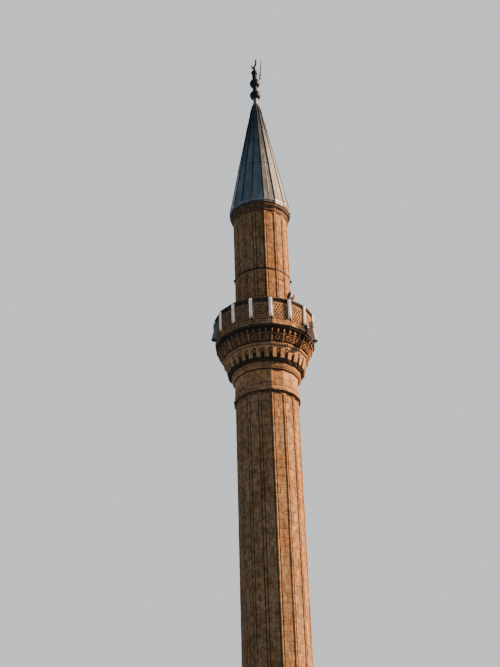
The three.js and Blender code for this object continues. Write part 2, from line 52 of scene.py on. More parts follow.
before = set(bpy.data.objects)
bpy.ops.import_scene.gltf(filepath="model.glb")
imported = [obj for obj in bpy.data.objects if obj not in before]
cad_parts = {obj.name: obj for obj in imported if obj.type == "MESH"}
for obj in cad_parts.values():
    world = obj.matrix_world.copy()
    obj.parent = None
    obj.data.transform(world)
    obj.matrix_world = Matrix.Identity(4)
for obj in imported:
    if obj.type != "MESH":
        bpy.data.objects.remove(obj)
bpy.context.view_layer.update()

SIDES = 16
FULL = 2 * np.pi
TURN = FULL / SIDES
APOTHEM = np.cos(np.pi / SIDES)
BASE_HALF = 1.620
BASE_INNER = 0.900
DOOR_HALF = 0.410
ARCHITRAVE = 0.125
SHAFT_FOOT_RADIUS = 1.107
SHAFT_TOP_RADIUS = 1.050
SHAFT_BORE = 0.790
CORBEL_BORE = 0.745
QUARTERS = ("front", "right", "back", "left")
NICHES = 30
NICHE_START = np.radians(10.0)
NICHE_SPRING = 24.862
PANEL_RADIUS = 1.682
POST_SHIFT = np.radians(1.2)
UPPER_RADIUS = 0.959
UPPER_BORE = 0.705
UNCUT = (-np.inf, np.inf)
FOLD_RADIUS = 1.140
LIT_SIDE = np.radians(94)
RIGHT_HORN = 62.0


def span(node):
    """Heights of a CAD node's lowest and highest points."""
    return [corner.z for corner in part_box(node)]


def foot(node):
    return span(node)[0]


def head(node):
    return span(node)[1]


def tall(node):
    return head(node) - foot(node)


# ---------------------------------------------------------------- settings


def size_of(name, description, metres, least=0.0):
    """A setting in metres."""
    return FloatProperty(name=name, description=description, default=metres, min=least,
                         unit="LENGTH")


def colour_of(name, description, value, most=1.0):
    """A colour setting."""
    return FloatVectorProperty(name=name, description=description, default=value, min=0.0,
                               max=most, subtype="COLOR")


def angle_of(name, description, degrees):
    """A setting in degrees."""
    return FloatProperty(name=name, description=description, default=np.radians(degrees),
                         subtype="ANGLE")


def number_of(name, description, value):
    """A plain number."""
    return FloatProperty(name=name, description=description, default=value)


class StoneSettings(bpy.types.PropertyGroup):
    """Sizes and colours of the stonework"""

    seed: IntProperty(
        name="Seed", description="Draw of the joints and of each stone's tone", default=7, min=0)
    course: size_of("Shaft Course", "Height of a course on the shaft", 0.30, 0.1)
    upper_course: size_of("Upper Course", "Height of a course over the balcony", 0.27, 0.1)
    joint_depth: size_of("Joint Depth", "How far the mortar lies behind the stones", 0.007)
    joint_half: size_of("Joint Half Width", "Half the width of a joint with its worn edges",
                        0.009, 0.001)
    rib_half: size_of("Rib Half Width", "Half the width of a corner rib with its grooves",
                      0.070, 0.01)
    groove_depth: size_of("Groove Depth", "Depth of the grooves beside a rib's roll", 0.026)
    light: colour_of("Light Stone", "Colour of the clean stone", (0.63, 0.325, 0.140))
    ochre: colour_of("Ochre Stone", "Colour of the iron-stained patches", (0.47, 0.195, 0.060))
    # This colour is dirt and also painted shade: it darkens hollows, undersides, the side away
    # from the light and the right horn's shadow.
    dirt: colour_of("Dirt", "Colour of the crust in hollows and joints", (0.060, 0.040, 0.024))
    marble: colour_of("Marble", "Colour of the balustrade's posts", (0.90, 0.87, 0.82))


class MetalSettings(bpy.types.PropertyGroup):
    """Sizes and colours of the lead, bronze, iron and paint"""

    seam_height: size_of("Seam Height", "Height of the rolled seams on the cone's corners", 0.016)
    dents: size_of("Dents", "Depth of the waves in the lead sheets", 0.0045)
    lead: colour_of("Lead", "Colour of the weathered lead", (0.36, 0.31, 0.265))
    bloom: colour_of("Bloom", "Colour of the pale bloom on the lead", (0.55, 0.53, 0.52))
    bronze: colour_of("Bronze", "Colour of the finial's dark patina", (0.012, 0.014, 0.012))
    gilt: colour_of("Gilt", "Colour of the gilding left on the finial", (0.50, 0.38, 0.20))
    iron: colour_of("Iron", "Colour of the weathered iron", (0.018, 0.017, 0.016))
    rust: colour_of("Rust", "Colour of rust on iron and paint", (0.17, 0.065, 0.028))
    paint: colour_of("Speaker Paint", "Colour of the left loudspeaker", (0.34, 0.33, 0.25))
    cream: colour_of("Cream Paint", "Colour of the other loudspeakers", (0.80, 0.60, 0.46))


class StageSettings(bpy.types.PropertyGroup):
    """Place of the camera and strength of the lights"""

    distance: size_of("Camera Distance", "From the tower's axis to the camera", 42.0, 1.0)
    eye_height: size_of("Eye Height", "Height of the camera over the ground", 1.6)
    place: angle_of("Camera Place", "Angle round the tower, from the front to the right", 2.25)
    pitch: angle_of("Pitch", "How far the camera looks up", 30.394)
    swing: angle_of("Swing", "How far the camera looks past the axis", -0.679)
    roll: angle_of("Roll", "Turn of the picture", 1.928)
    lens: number_of("Lens", "Focal length in millimetres", 77.22)
    sun_side: angle_of("Key Side", "Angle of the key light to the right of the camera", 92.0)
    sun_height: angle_of("Key Height", "Angle of the key light over the horizon", 26.5)
    sun_strength: number_of("Key Strength", "Strength of the key light", 9.8)
    sun_soft: angle_of("Key Softness", "Apparent size of the key light", 1.5)
    back_side: angle_of("Back Light Side", "Angle of the weak light behind the tower", 197.0)
    back_strength: number_of("Back Light Strength", "Strength of the weak light", 0.4)
    fill: number_of("Fill", "Strength of the light from all round", 0.12)
    fill_colour: colour_of("Fill Colour", "Colour of the light from all round",
                           (0.36, 0.88, 1.50), 2.0)


# ---------------------------------------------------------------- meshes


class Piece:
    """Tables of points gathered into one mesh. Each point has the tone of its stone, how far it is
    mortar, and how much dark crust it gets, which is dirt in places and painted shade in hollows,
    under ledges and on the side away from the light."""

    VALUES = ("tone", "joint", "hollow")

    def __init__(self):
        self.points, self.values, self.quads, self.loops = [], [], [], []
        self.count = 0

    def grid(self, points, around=False, over=False, ends=False, lids=False,
             tone=0.5, joint=0.0, hollow=0.0):
        """Joins a table of points into faces; rows run up and columns to the right, seen from
        outside. around and over join the last column or row to the first; ends and lids close
        the first and last column or row with one face each."""
        rows, columns = points.shape[:2]
        index = self.count + np.arange(rows * columns).reshape(rows, columns)
        self.count += rows * columns
        self.points.append(points.reshape(-1, 3))
        self.values.append(np.stack(
            [np.broadcast_to(value, (rows, columns)).ravel() for value in (tone, joint, hollow)]))
        if ends:
            self.loops += [index[:, 0], index[::-1, -1]]
        if lids:
            self.loops += [index[0, ::-1], index[-1]]
        if around:
            index = np.hstack([index, index[:, :1]])
        if over:
            index = np.vstack([index, index[:1]])
        self.quads.append(np.stack(
            [index[:-1, :-1], index[:-1, 1:], index[1:, 1:], index[1:, :-1]], -1).reshape(-1, 4))
        return self

    def ring(self, points, **values):
        """A grid that is joined both ways, as a ring is."""
        return self.grid(points, around=True, over=True, **values)

    def solid(self, points, **values):
        """A grid that is joined round, with a lid at its foot and one at its head."""
        return self.grid(points, around=True, lids=True, **values)

    def bar(self, *given):
        """A closed bar, with the same arguments as the function of that name."""
        return self.solid(bar(*given))

    def copies(self, angles):
        """Puts turned copies of what was gathered in its place, by plane rotations."""
        points, values = np.concatenate(self.points), np.hstack(self.values)
        quads, loops, count = np.concatenate(self.quads), self.loops, self.count
        self.__init__()
        for angle in angles:
            self.points.append(turned_about_axis(points, angle))
            self.values.append(values)
            self.quads.append(quads + self.count)
            self.loops += [loop + self.count for loop in loops]
            self.count += count
        return self

    def make(self, name, finish, node=None, crease=30.0, slot=None):
        """Makes a piece of the tower in one of the finishes, in the place of a CAD node."""
        title, own_slot, build, *numbers = FINISHES[finish]
        material = bpy.data.materials.get(title) or build(title, finish, *numbers)
        piece = self.mesh(name, material, crease)
        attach(piece, "root")
        if node:
            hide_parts(node)

    def mesh(self, name, material, crease=30.0):
        """Makes the tables one object. Edges over crease degrees stay sharp."""
        mesh = bpy.data.meshes.new(name)
        faces = np.concatenate(self.quads).tolist() + [loop.tolist() for loop in self.loops]
        mesh.from_pydata(np.concatenate(self.points), [], faces)
        for value_name, row in zip(self.VALUES, np.hstack(self.values)):
            layer = mesh.attributes.new(value_name, "FLOAT", "POINT")
            layer.data.foreach_set("value", row.astype(np.float32))
        mesh.validate()
        mesh.shade_smooth()
        mesh.set_sharp_from_angle(angle=np.radians(crease))
        mesh.materials.append(material)
        piece = bpy.data.objects.new(name, mesh)
        bpy.context.scene.collection.objects.link(piece)
        return piece


def polar(radius, angle):
    """Points in plan at a radius and an angle from -Y."""
    return np.stack([radius * np.sin(angle), -radius * np.cos(angle)], axis=-1)


def circle(count):
    """Equal angles round a full turn."""
    return np.arange(count) * FULL / count


def off_middle(angle):
    """How far an angle is from the middle of the side that it falls on."""
    return (angle + TURN / 2) % TURN - TURN / 2


def lifted(flat, height):
    """Points in plan with their heights."""
    height = np.broadcast_to(height, flat.shape[:-1])
    return np.concatenate([flat, height[..., None]], axis=-1)


def turned_about_axis(points, angle):
    """The same points further round the tower by an angle, by a plane rotation."""
    c, s = np.cos(angle), np.sin(angle)
    return np.stack([points[..., 0] * c - points[..., 1] * s,
                     points[..., 0] * s + points[..., 1] * c, points[..., 2]], axis=-1)


def shady(flat):
    """How far points in plan face away from the lit side, by the cosine between, 0 to 1."""
    turn = np.arctan2(flat[..., 0], -flat[..., 1])
    return ease(0.62 - 0.9 * np.cos(turn - LIT_SIDE))


def near_angle(flat, middle, width):
    """1 at an angle in degrees, falling to 0 at a width on both sides."""
    turn = np.degrees(np.arctan2(flat[..., 0], -flat[..., 1]))
    return ease(1.6 - 1.6 * np.abs((turn - middle + 180) % 360 - 180) / width)


def clamp(x):
    return np.clip(x, 0, 1)


def ease(x):
    """0 below 0, 1 above 1, and a smooth cubic step between."""
    x = clamp(x)
    return x * x * (3 - 2 * x)


def highest(*fields):
    """The greatest of several fields at each point."""
    return reduce(np.maximum, fields)


def ripple(seed, *axes, waves=7):
    """A smooth field of about -1 to 1: a mean of sines with random directions and phases."""
    draw = np.random.default_rng(seed)
    total = 0.0
    for _ in range(waves):
        turn = sum(axis * draw.normal() for axis in axes)
        total = total + np.sin(turn + draw.uniform(0, FULL))
    return total / waves ** 0.5


def arc(start, end, bulge, steps=6):
    """The straight line from start to end plus a half sine across it, bulge times as high."""
    start, end = np.array(start, float), np.array(end, float)
    t = np.linspace(0, 1, steps + 1)[:, None]
    way = end - start
    across = np.array([way[1], -way[0]])
    return start + way * t + across * bulge * np.sin(np.pi * t)


def path_of(*parts):
    """One profile from points and runs of points, without repeated ones."""
    rows = np.vstack([np.atleast_2d(np.array(part, float)) for part in parts])
    keep = np.ones(len(rows), bool)
    keep[1:] = np.linalg.norm(np.diff(rows, axis=0), axis=1) > 1e-5
    return rows[keep]


class Plan:
    """The columns of a many-sided ring in plan. A station (share, pin) stands at share times
    half the side's length plus pin metres from its middle. base is its place for a corner
    radius of 1 m, slip what the pin adds, and out the way that relief moves it: square to the
    side, or along the mitre on a corner, blended over soft metres."""

    def __init__(self, sides, radius, stations, soft=1e-4):
        share, pin = np.array(stations, float).T
        half, apothem = np.sin(np.pi / sides), np.cos(np.pi / sides)
        self.sides, self.radius, self.per_side = sides, radius, len(share)
        self.side = np.repeat(np.arange(sides), len(share))
        side_turn = self.side * FULL / sides
        self.share, self.pin = np.tile(share, sides), np.tile(pin, sides)
        self.along = self.share * half * radius + self.pin
        self.from_corner = half * radius - np.abs(self.along)
        normal, tangent = polar(1, side_turn), polar(1, side_turn + np.pi / 2)
        self.base = apothem * normal + (self.share * half)[:, None] * tangent
        self.slip = self.pin[:, None] * tangent
        corner_turn = side_turn + np.sign(self.along) * np.pi / sides
        blend = clamp(1 - self.from_corner / soft)[:, None]
        self.out = normal + (polar(1, corner_turn) / apothem - normal) * blend

    def column(self, side, share, pin=0.0):
        """Number of the column at one station of one side."""
        here = slice((side % self.sides) * self.per_side, (side % self.sides + 1) * self.per_side)
        near = np.abs(self.share[here] - share) + np.abs(self.pin[here] - pin)
        return here.start + int(np.argmin(near))

    def stretch(self, first, last):
        """Numbers of the columns from one to another, going to the right."""
        count = len(self.share)
        return np.arange(first, last + 1 if last > first else last + count + 1) % count

    def quarters(self, shift, share):
        """Columns of the four quarters; the first starts on side number shift."""
        starts = [self.column(number * self.sides // 4 + shift, share) for number in range(5)]
        return [self.stretch(*ends) for ends in zip(starts, starts[1:])]

    def points(self, rows, offset=0.0, slip=None):
        """The plan scaled to each row's radius, plus relief along the profile's normal."""
        slip = rows.radius / self.radius if slip is None else slip
        offset = np.broadcast_to(offset, (len(rows.radius), len(self.share)))
        flat = (rows.radius[:, None, None] * self.base + slip[:, None, None] * self.slip
                + (offset * rows.outward[:, None])[..., None] * self.out)
        return lifted(flat, rows.height[:, None] + offset * rows.upward[:, None])


class Rows:
    """The rows of a ring from its foot up the outer face, then down inside at the bore."""

    def __init__(self, profile, bore=None, joints=UNCUT):
        profile = np.array(profile, float)
        way = np.gradient(profile, axis=0)
        way /= np.linalg.norm(way, axis=1)[:, None] + 1e-12
        table = np.column_stack([profile, way[:, 1], -way[:, 0], np.ones(len(profile))])
        if bore is not None:
            table = np.vstack([table, [[bore, z, 0, 0, 0] for z in profile[[-1, 0], 1]]])
        self.radius, self.height, self.outward, self.upward, self.face = table.T
        joints = np.array(joints, float)
        self.seam = self.face * (np.abs(self.height[:, None] - joints).min(axis=1) < 1e-6)
        course = np.searchsorted(joints, self.height + 1e-6) - 1
        self.course = np.clip(course, 0, len(joints) - 2)
        self.courses = int(self.course.max()) + 1


def wall_profile(low, high, joints, edge, extra=()):
    """Profile of a wall between two (radius, height) ends, with rows at each joint between
    them, at its edges, at the stones' middles and at extra heights."""
    joints = joints[(joints > low[1] - 1e-4) & (joints < high[1] + 1e-4)]
    heights = np.concatenate([joints, joints[:-1] + edge, joints[1:] - edge,
                              (joints[:-1] + joints[1:]) / 2])
    added = [z for z in extra if low[1] < z < high[1] and np.abs(heights - z).min() > 0.003]
    heights = np.unique(np.concatenate([heights, added]))
    radius = np.interp(heights, [low[1], high[1]], [low[0], high[0]])
    return np.stack([radius, heights], axis=-1)


class Stones:
    """Tone, joint and relief of a ring of coursed stones. Each course is cut at every step-th
    of the plan's joints, from a phase that differs from the course below, and each stone leans
    and stands out a little."""

    def __init__(self, plan, rows, joint_shares, step, seed, depth, lean=0.0015):
        draw = np.random.default_rng(seed)
        candidates = np.array([[plan.column(side, share) for share in joint_shares]
                               for side in range(plan.sides)])
        number = candidates.shape[1]
        phase = np.zeros((rows.courses, plan.sides), int)
        for course in range(rows.courses):
            below = phase[course - 1] if course else draw.integers(0, step, plan.sides)
            phase[course] = (below + draw.integers(1, max(step, 2), plan.sides)) % step
        if number == 3 and step == 3:
            quarters = np.arange(2, plan.sides, 4)
            phase[:, quarters] = 2 * ((np.arange(rows.courses)[:, None] + quarters // 4) % 2)
        cut = np.arange(number) % step == phase[:, :, None]
        starts = np.zeros((rows.courses, len(plan.share)), int)
        starts[:, candidates.ravel()] = cut.reshape(rows.courses, -1)
        stone = np.cumsum(starts, axis=1)
        stone %= np.maximum(stone[:, -1:], 1)
        size = (rows.courses, int(stone.max()) + 1)
        pick = [np.take_along_axis(table, stone, axis=1)[rows.course] for table in (
            draw.random(size), draw.normal(size=size), draw.uniform(-1, 1, size),
            draw.uniform(-1, 1, size))]
        self.tone, stand, tilt, turn = pick
        bed = np.array([rows.height[rows.course == c].mean() if (rows.course == c).any() else 0
                        for c in range(rows.courses)])[rows.course]
        signed = -np.sign(plan.along) * np.minimum(plan.from_corner, 0.25)
        swing = turn * signed if plan.sides == SIDES else 0.0
        relief = lean * (0.8 * stand + 9 * tilt * (rows.height - bed)[:, None] + 7 * swing)
        self.joint = np.maximum(starts[rows.course] * 1.0, rows.seam[:, None])
        self.joint *= rows.face[:, None]
        self.relief = (relief * (1 - self.joint) - depth * self.joint) * rows.face[:, None]


def bar(path, section, side=(0, 0, 1)):
    """A section of [across, up] points carried along a path: each path point plus the
    section's numbers along two cross vectors, the first one near the given side."""
    path, section = np.array(path, float), np.array(section, float)
    ahead = np.gradient(path, axis=0)
    ahead /= np.linalg.norm(ahead, axis=1)[:, None]
    across = side - ahead * (ahead @ side)[:, None]
    across /= np.linalg.norm(across, axis=1)[:, None]
    return (path[:, None] + section[..., :1] * across[:, None]
            + section[..., 1:] * np.cross(ahead, across)[:, None])


def round_section(radius, count):
    """A circle of points, turning from across towards up."""
    angle = circle(count)
    return np.stack([radius * np.cos(angle), radius * np.sin(angle)], axis=-1)


def soft_box(width, height, chamfer):
    """A rectangle of points with cut corners, in the same order as round_section."""
    w, h, c = width / 2, height / 2, chamfer
    return np.array([[w, -h + c], [w, h - c], [w - c, h], [-w + c, h], [-w, h - c],
                     [-w, -h + c], [-w + c, -h], [w - c, -h]])


def lathe(profile, count=32, ripple_out=0.0):
    """A profile of (radius, height) turned round the vertical axis, with a ripple."""
    profile = np.array(profile, float)
    return lifted(polar(profile[:, :1] + ripple_out, circle(count)), profile[:, 1:])


def evenly(count):
    """Stations at equal shares of a side, from its left corner."""
    return [(share, 0.0) for share in np.linspace(-1, 1, count, endpoint=False)]


# ---------------------------------------------------------------- materials


class Nodes:
    """Short calls that add shader nodes to one tree and return their sockets."""

    def __init__(self, tree):
        self.tree = tree

    def add(self, kind, inputs=(), **settings):
        node = self.tree.nodes.new("ShaderNode" + kind)
        row, column = divmod(len(self.tree.nodes), 8)
        node.location = (180 * column, -160 * row)
        for key, value in settings.items():
            setattr(node, key, value)
        return self.fill(node, inputs)

    def fill(self, node, inputs):
        """Links or sets a node's inputs by name or number."""
        for key, value in dict(inputs).items():
            self.feed(node.inputs[key], value)
        return node

    def feed(self, socket, value):
        if isinstance(value, bpy.types.NodeSocket):
            self.tree.links.new(value, socket)
        else:
            socket.default_value = value

    def math(self, operation, a, b=0.0, c=0.0, clamp=False):
        inputs = {0: a, 1: b, 2: c}
        return self.add("Math", inputs, operation=operation, use_clamp=clamp).outputs[0]

    def times(self, a, b, clamp=False):
        return self.math("MULTIPLY", a, b, clamp=clamp)

    def plus(self, a, b, clamp=False):
        return self.math("ADD", a, b, clamp=clamp)

    def remap(self, value, low, high, to_low=0.0, to_high=1.0):
        inputs = {0: value, 1: low, 2: high, 3: to_low, 4: to_high}
        return self.add("MapRange", inputs, interpolation_type="SMOOTHSTEP").outputs[0]

    def blend(self, amount, a, b, how="MIX"):
        node = self.add("Mix", {0: amount}, data_type="RGBA", blend_type=how)
        for socket, value in ((node.inputs[6], a), (node.inputs[7], b)):
            value = value if isinstance(value, bpy.types.NodeSocket) else (*value[:3], 1.0)
            self.feed(socket, value)
        return node.outputs[2]

    def place(self, scale=(1, 1, 1), shift=(0, 0, 0)):
        coordinates = self.add("TexCoord").outputs["Object"]
        inputs = {"Vector": coordinates, "Location": shift, "Scale": scale}
        return self.add("Mapping", inputs).outputs[0]

    def noise(self, vector, scale, detail=4.0, roughness=0.55, distortion=0.0):
        inputs = {"Vector": vector, "Scale": scale, "Detail": detail, "Roughness": roughness,
                  "Distortion": distortion}
        return self.add("TexNoise", inputs).outputs["Fac"]

    def group(self, name, inputs=()):
        return self.add("Group", inputs, node_tree=effect(name)).outputs

    def value_of(self, name):
        return self.add("Attribute", attribute_name=name).outputs["Fac"]

    def bump(self, height, strength, distance):
        inputs = {"Height": height, "Strength": strength, "Distance": distance}
        return self.add("Bump", inputs).outputs[0]


def effect(name):
    """One of the shared node groups, built once."""
    if name in bpy.data.node_groups:
        return bpy.data.node_groups[name]
    inputs, outputs, build = EFFECTS[name]
    tree = bpy.data.node_groups.new(name, "ShaderNodeTree")
    for side, labels in (("INPUT", inputs), ("OUTPUT", outputs)):
        for label in labels.split():
            kind = "Color" if label in ("Clean", "Stain", "Dirt", "Color") else "Float"
            tree.interface.new_socket(label, in_out=side, socket_type="NodeSocket" + kind)
    given = tree.nodes.new("NodeGroupInput").outputs
    result = tree.nodes.new("NodeGroupOutput").inputs
    for label, socket in build(Nodes(tree), given).items():
        tree.links.new(socket, result[label])
    return tree


def build_runs(nodes, given):
    """Streaks that run down a wall: noise stretched upwards, kept where a broad noise says."""
    fine = nodes.noise(nodes.place((1, 1, 0.05)), given["Scale"], 5.0, 0.62)
    broad = nodes.noise(nodes.place((1, 1, 0.35), (3, 1, 7)), 0.9, 3.0, 0.5)
    fine = nodes.remap(fine, 0.46, 0.66)
    return {"Mask": nodes.times(fine, nodes.remap(broad, 0.38, 0.64))}


def build_grain(nodes, given):
    """Grain of a worn surface: coarse and fine noise with small pits, as a height."""
    vector = nodes.place()
    coarse = nodes.noise(vector, given["Scale"], 6.0, 0.65)
    fine = nodes.noise(vector, nodes.times(given["Scale"], 6.5), 3.0, 0.6)
    cells = nodes.add("TexVoronoi", {"Vector": vector, "Scale": nodes.times(
        given["Scale"], 2.2)}, feature="F1").outputs["Distance"]
    pits = nodes.times(nodes.remap(cells, 0.22, 0.05), given["Pits"])
    height = nodes.plus(coarse, nodes.times(fine, 0.35))
    return {"Height": nodes.math("SUBTRACT", height, pits), "Mask": coarse}


def build_stone(nodes, given):
    """Weathered stone: ochre stains by noise and tone, mottling in two sizes, run-down dirt, a
    dark crust that is dirt and also painted shade in hollows, under ledges and on the side away
    from the light, and mortar in joints."""
    tone, joint, hollow = (nodes.value_of(name) for name in Piece.VALUES)
    broad = nodes.noise(nodes.place((1, 1, 0.6)), 1.5, 5.0, 0.6, 0.4)
    patch = nodes.noise(nodes.place((1, 1, 0.75), (5, 2, 1)), 8.0, 6.0, 0.66)
    fine = nodes.noise(nodes.place((1, 1, 1), (2, 7, 4)), 27.0, 5.0, 0.72)
    stain = nodes.plus(nodes.remap(broad, 0.38, 0.64, 0.0, 0.75),
                       nodes.remap(patch, 0.46, 0.66, 0.0, 0.65))
    stain = nodes.plus(stain, nodes.math("MULTIPLY_ADD", tone, 0.8, -0.40))
    stain = nodes.times(stain, given["Staining"], clamp=True)
    colour = nodes.blend(stain, given["Clean"], given["Stain"])
    shade = nodes.math("MULTIPLY_ADD", tone, 0.44, 0.80)
    shade = nodes.times(shade, nodes.remap(patch, 0.32, 0.68, 1.26, 0.66))
    shade = nodes.times(shade, nodes.remap(fine, 0.32, 0.68, 0.68, 1.26))
    colour = nodes.blend(1.0, colour, shade, "MULTIPLY")
    runs = nodes.group("Run-down Streaks", {"Scale": 9.0})["Mask"]
    colour = nodes.blend(nodes.times(runs, given["Runs"]), colour, given["Dirt"])
    # Painted shade besides real dirt: the crust value darkens hollows, undersides, the side away
    # from the light and the horn's shadow.
    crust_shade_mix = nodes.times(nodes.remap(hollow, 0.05, 0.85), given["Crust"])
    crust_shade_mix = nodes.times(crust_shade_mix, nodes.remap(patch, 0.2, 0.5, 0.75, 1.0), clamp=True)
    colour = nodes.blend(crust_shade_mix, colour, given["Dirt"])
    mortar = nodes.remap(nodes.noise(nodes.place((1, 1, 1), (9, 4, 2)), 3.3, 3.0), 0.50, 0.66)
    mortar = nodes.blend(mortar, given["Dirt"], given["Clean"])
    colour = nodes.blend(nodes.times(joint, 0.8), colour, mortar)
    grain = nodes.group("Worn Grain", {"Scale": 34.0, "Pits": given["Pits"]})["Height"]
    roughness = nodes.remap(fine, 0.3, 0.7, given["Rough"], nodes.plus(given["Rough"], 0.1))
    return {"Color": colour, "Roughness": roughness, "Height": grain}


EFFECTS = {
    "Run-down Streaks": ("Scale", "Mask", build_runs),
    "Worn Grain": ("Scale Pits", "Height Mask", build_grain),
    "Weathered Stone": ("Clean Stain Dirt Staining Runs Crust Pits Rough",
                        "Color Roughness Height", build_stone)}


def principled(name, metallic=0.0, specular=0.5):
    """A new material, its node helper and its shader with the constant values set."""
    material = bpy.data.materials.new(name)
    material.use_nodes = True
    material.node_tree.nodes.clear()
    nodes = Nodes(material.node_tree)
    shader = nodes.add("BsdfPrincipled", {"Metallic": metallic, "Specular IOR Level": specular})
    nodes.tree.links.new(shader.outputs[0], nodes.add("OutputMaterial").inputs[0])
    return material, nodes, shader


def stone_material(title, finish, bright, grain_depth, *amounts):
    """Stone in one of its finishes: the shared effect with its own colours and amounts. Marble
    has a faint warm emission, a painted glow that brightens the posts where they lie in shade."""
    stone = bpy.context.scene.minaret_stone
    colours = (stone.marble, stone.light) if finish == "marble" else (stone.light, stone.ochre)
    clean, stain = ([min(bright * part, 1) for part in colour] for colour in colours)
    inputs = {"Clean": (*clean, 1.0), "Stain": (*stain, 1.0), "Dirt": (*stone.dirt, 1.0)}
    inputs |= zip(("Staining", "Runs", "Crust", "Pits", "Rough"), amounts)
    material, nodes, shader = principled(title, specular=0.3)
    surface = nodes.group("Weathered Stone", inputs)
    nodes.fill(shader, {"Base Color": surface["Color"], "Roughness": surface["Roughness"],
                        "Normal": nodes.bump(surface["Height"], 0.7, grain_depth)})
    # Painted glow: the marble emits light though it is no lamp, to brighten the posts where they
    # lie in shade.
    if finish == "marble":
        nodes.fill(shader, {"Emission Color": (1.0, 0.80, 0.66, 1.0), "Emission Strength": 0.24})
    return material


def lead_material(title, finish):
    """Lead: dark metal under a dull skin, with a pale bloom that runs down from the seams."""
    metal = bpy.context.scene.minaret_metal
    material, nodes, shader = principled(title)
    tone, hollow = nodes.value_of("tone"), nodes.value_of("hollow")
    runs = nodes.group("Run-down Streaks", {"Scale": 13.0})["Mask"]
    broad = nodes.noise(nodes.place((1, 1, 0.45)), 2.2, 5.0, 0.62, 0.6)
    cloud = nodes.remap(broad, 0.40, 0.68)
    bloom = nodes.plus(nodes.times(cloud, 0.55), nodes.times(runs, 0.5), clamp=True)
    bloom = nodes.plus(bloom, nodes.math("MULTIPLY_ADD", tone, 0.3, -0.12), clamp=True)
    colour = nodes.blend(bloom, metal.lead, metal.bloom)
    speck = nodes.remap(nodes.noise(nodes.place(), 48.0, 5.0, 0.7), 0.35, 0.75, 0.78, 1.15)
    colour = nodes.blend(1.0, colour, speck, "MULTIPLY")
    # Darker lead by the piece's crust value: towards the cone's top and on the cap, with painted
    # shade on each sheet's lapped lower edge and on the eave's skirt.
    colour = nodes.blend(nodes.times(hollow, 0.9), colour, (0.090, 0.087, 0.085))
    # Painted shadow: the seams' joint value turns the rolls and the lead beside them nearly black,
    # as the shadow lines of the seams.
    seam = nodes.times(nodes.value_of("joint"), 0.92)
    colour = nodes.blend(seam, colour, (0.020, 0.026, 0.032))
    waves = nodes.noise(nodes.place((1, 1, 0.8)), 5.0, 3.0, 0.5)
    grain = nodes.group("Worn Grain", {"Scale": 40.0, "Pits": 0.2})["Height"]
    height = nodes.plus(waves, nodes.times(grain, 0.06))
    nodes.fill(shader, {"Base Color": colour, "Normal": nodes.bump(height, 0.6, 0.012),
                        "Metallic": nodes.remap(bloom, 0.0, 1.0, 0.62, 0.12),
                        "Roughness": nodes.remap(bloom, 0.1, 0.9, 0.46, 0.72)})
    return material


def coated_metal(title, finish, patch, metallic, edges, scale, rough, amount):
    """A coated metal: its own colour, patches by noise, and dark runs."""
    metal = bpy.context.scene.minaret_metal
    material, nodes, shader = principled(title)
    grain = nodes.group("Worn Grain", {"Scale": scale, "Pits": 0.25})
    worn = nodes.remap(grain["Mask"], *edges)
    colour = nodes.blend(worn, getattr(metal, finish), getattr(metal, patch))
    runs = nodes.group("Run-down Streaks", {"Scale": 22.0})["Mask"]
    # Darker towards the iron colour by dark runs and by the piece's crust value; on the horns that
    # is painted shade inside the bell and in the driver's groove, and a darker driver end.
    hollow = nodes.times(nodes.value_of("hollow"), 0.75)
    dark = nodes.math("MULTIPLY_ADD", runs, amount, hollow, clamp=True)
    nodes.fill(shader, {"Base Color": nodes.blend(dark, colour, metal.iron),
                        "Metallic": nodes.remap(worn, 0.0, 1.0, *metallic),
                        "Roughness": nodes.remap(worn, 0.0, 1.0, *rough),
                        "Normal": nodes.bump(grain["Height"], 0.5, 0.002)})
    return material


# Each finish has a material, a slot and a builder. Stone adds brightness, grain depth, staining,
# runs, crust with painted shade, pits and roughness. Coated metal adds the colour of its
# patches, bare and patched metal, the noise where patches start and end, its scale, bare and
# patched roughness, and runs.
FINISHES = {
    "ashlar": ("Limestone Ashlar", "limestone", stone_material, 1.0, 0.004, 0.85, 0.38, 0.8, 0.4,
               0.85),
    "carved": ("Carved Limestone", "limestone", stone_material, 1.1, 0.004, 0.7, 0.25, 1.0, 0.4,
               0.85),
    "pale": ("Pale Limestone", "limestone", stone_material, 1.3, 0.004, 0.85, 0.38, 0.8, 0.4,
             0.85),
    "marble": ("Pale Marble", "limestone", stone_material, 1.0, 0.002, 0.12, 0.10, 1.0, 0.1, 0.5),
    "lead": ("Weathered Lead", "lead", lead_material),
    "bronze": ("Patinated Bronze", "finial_metal", coated_metal, "gilt", (0.3, 0.8),
               (0.62, 0.76), 7.0, (0.48, 0.36), 0.3),
    "iron": ("Weathered Iron", "iron", coated_metal, "rust", (0.2, 0.0), (0.56, 0.72), 24.0,
             (0.7, 0.9), 0.3),
    "paint": ("Speaker Paint", "speaker_paint", coated_metal, "rust", (0.0, 0.0), (0.64, 0.74),
              16.0, (0.42, 0.8), 0.4),
    "cream": ("Cream Paint", "speaker_paint", coated_metal, "rust", (0.0, 0.0), (0.64, 0.74),
              16.0, (0.42, 0.8), 0.4)}


# ---------------------------------------------------------------- ribbed walls

RIB_STATIONS = (0, 0.010, 0.020, 0.029, 0.036, 0.042, 0.050, 0.060, 0.070, 0.082, 0.100, 0.120)
ROLL_HALF = 0.036
ROLL_REACH = 0.008
ROLL_FALL = 0.018
FRAME_CORNER = 0.065
BAND_BELOW = 0.12
BAND_ABOVE = 0.05
HEAD_STEPS = (-0.10, -0.08, -0.06, -0.045, -0.03, -0.02, -0.01, 0, 0.008, 0.016, 0.022)


def rib_stations(joint_shares, edge):
    """Stations of one ribbed side: close over its half ribs, and three at each joint."""
    left = [(-1, d) for d in RIB_STATIONS]
    right = [(1, -d) for d in reversed(RIB_STATIONS[1:])]
    middle = [(share, pin) for share in joint_shares for pin in (-edge, 0, edge)]
    return left + middle + right


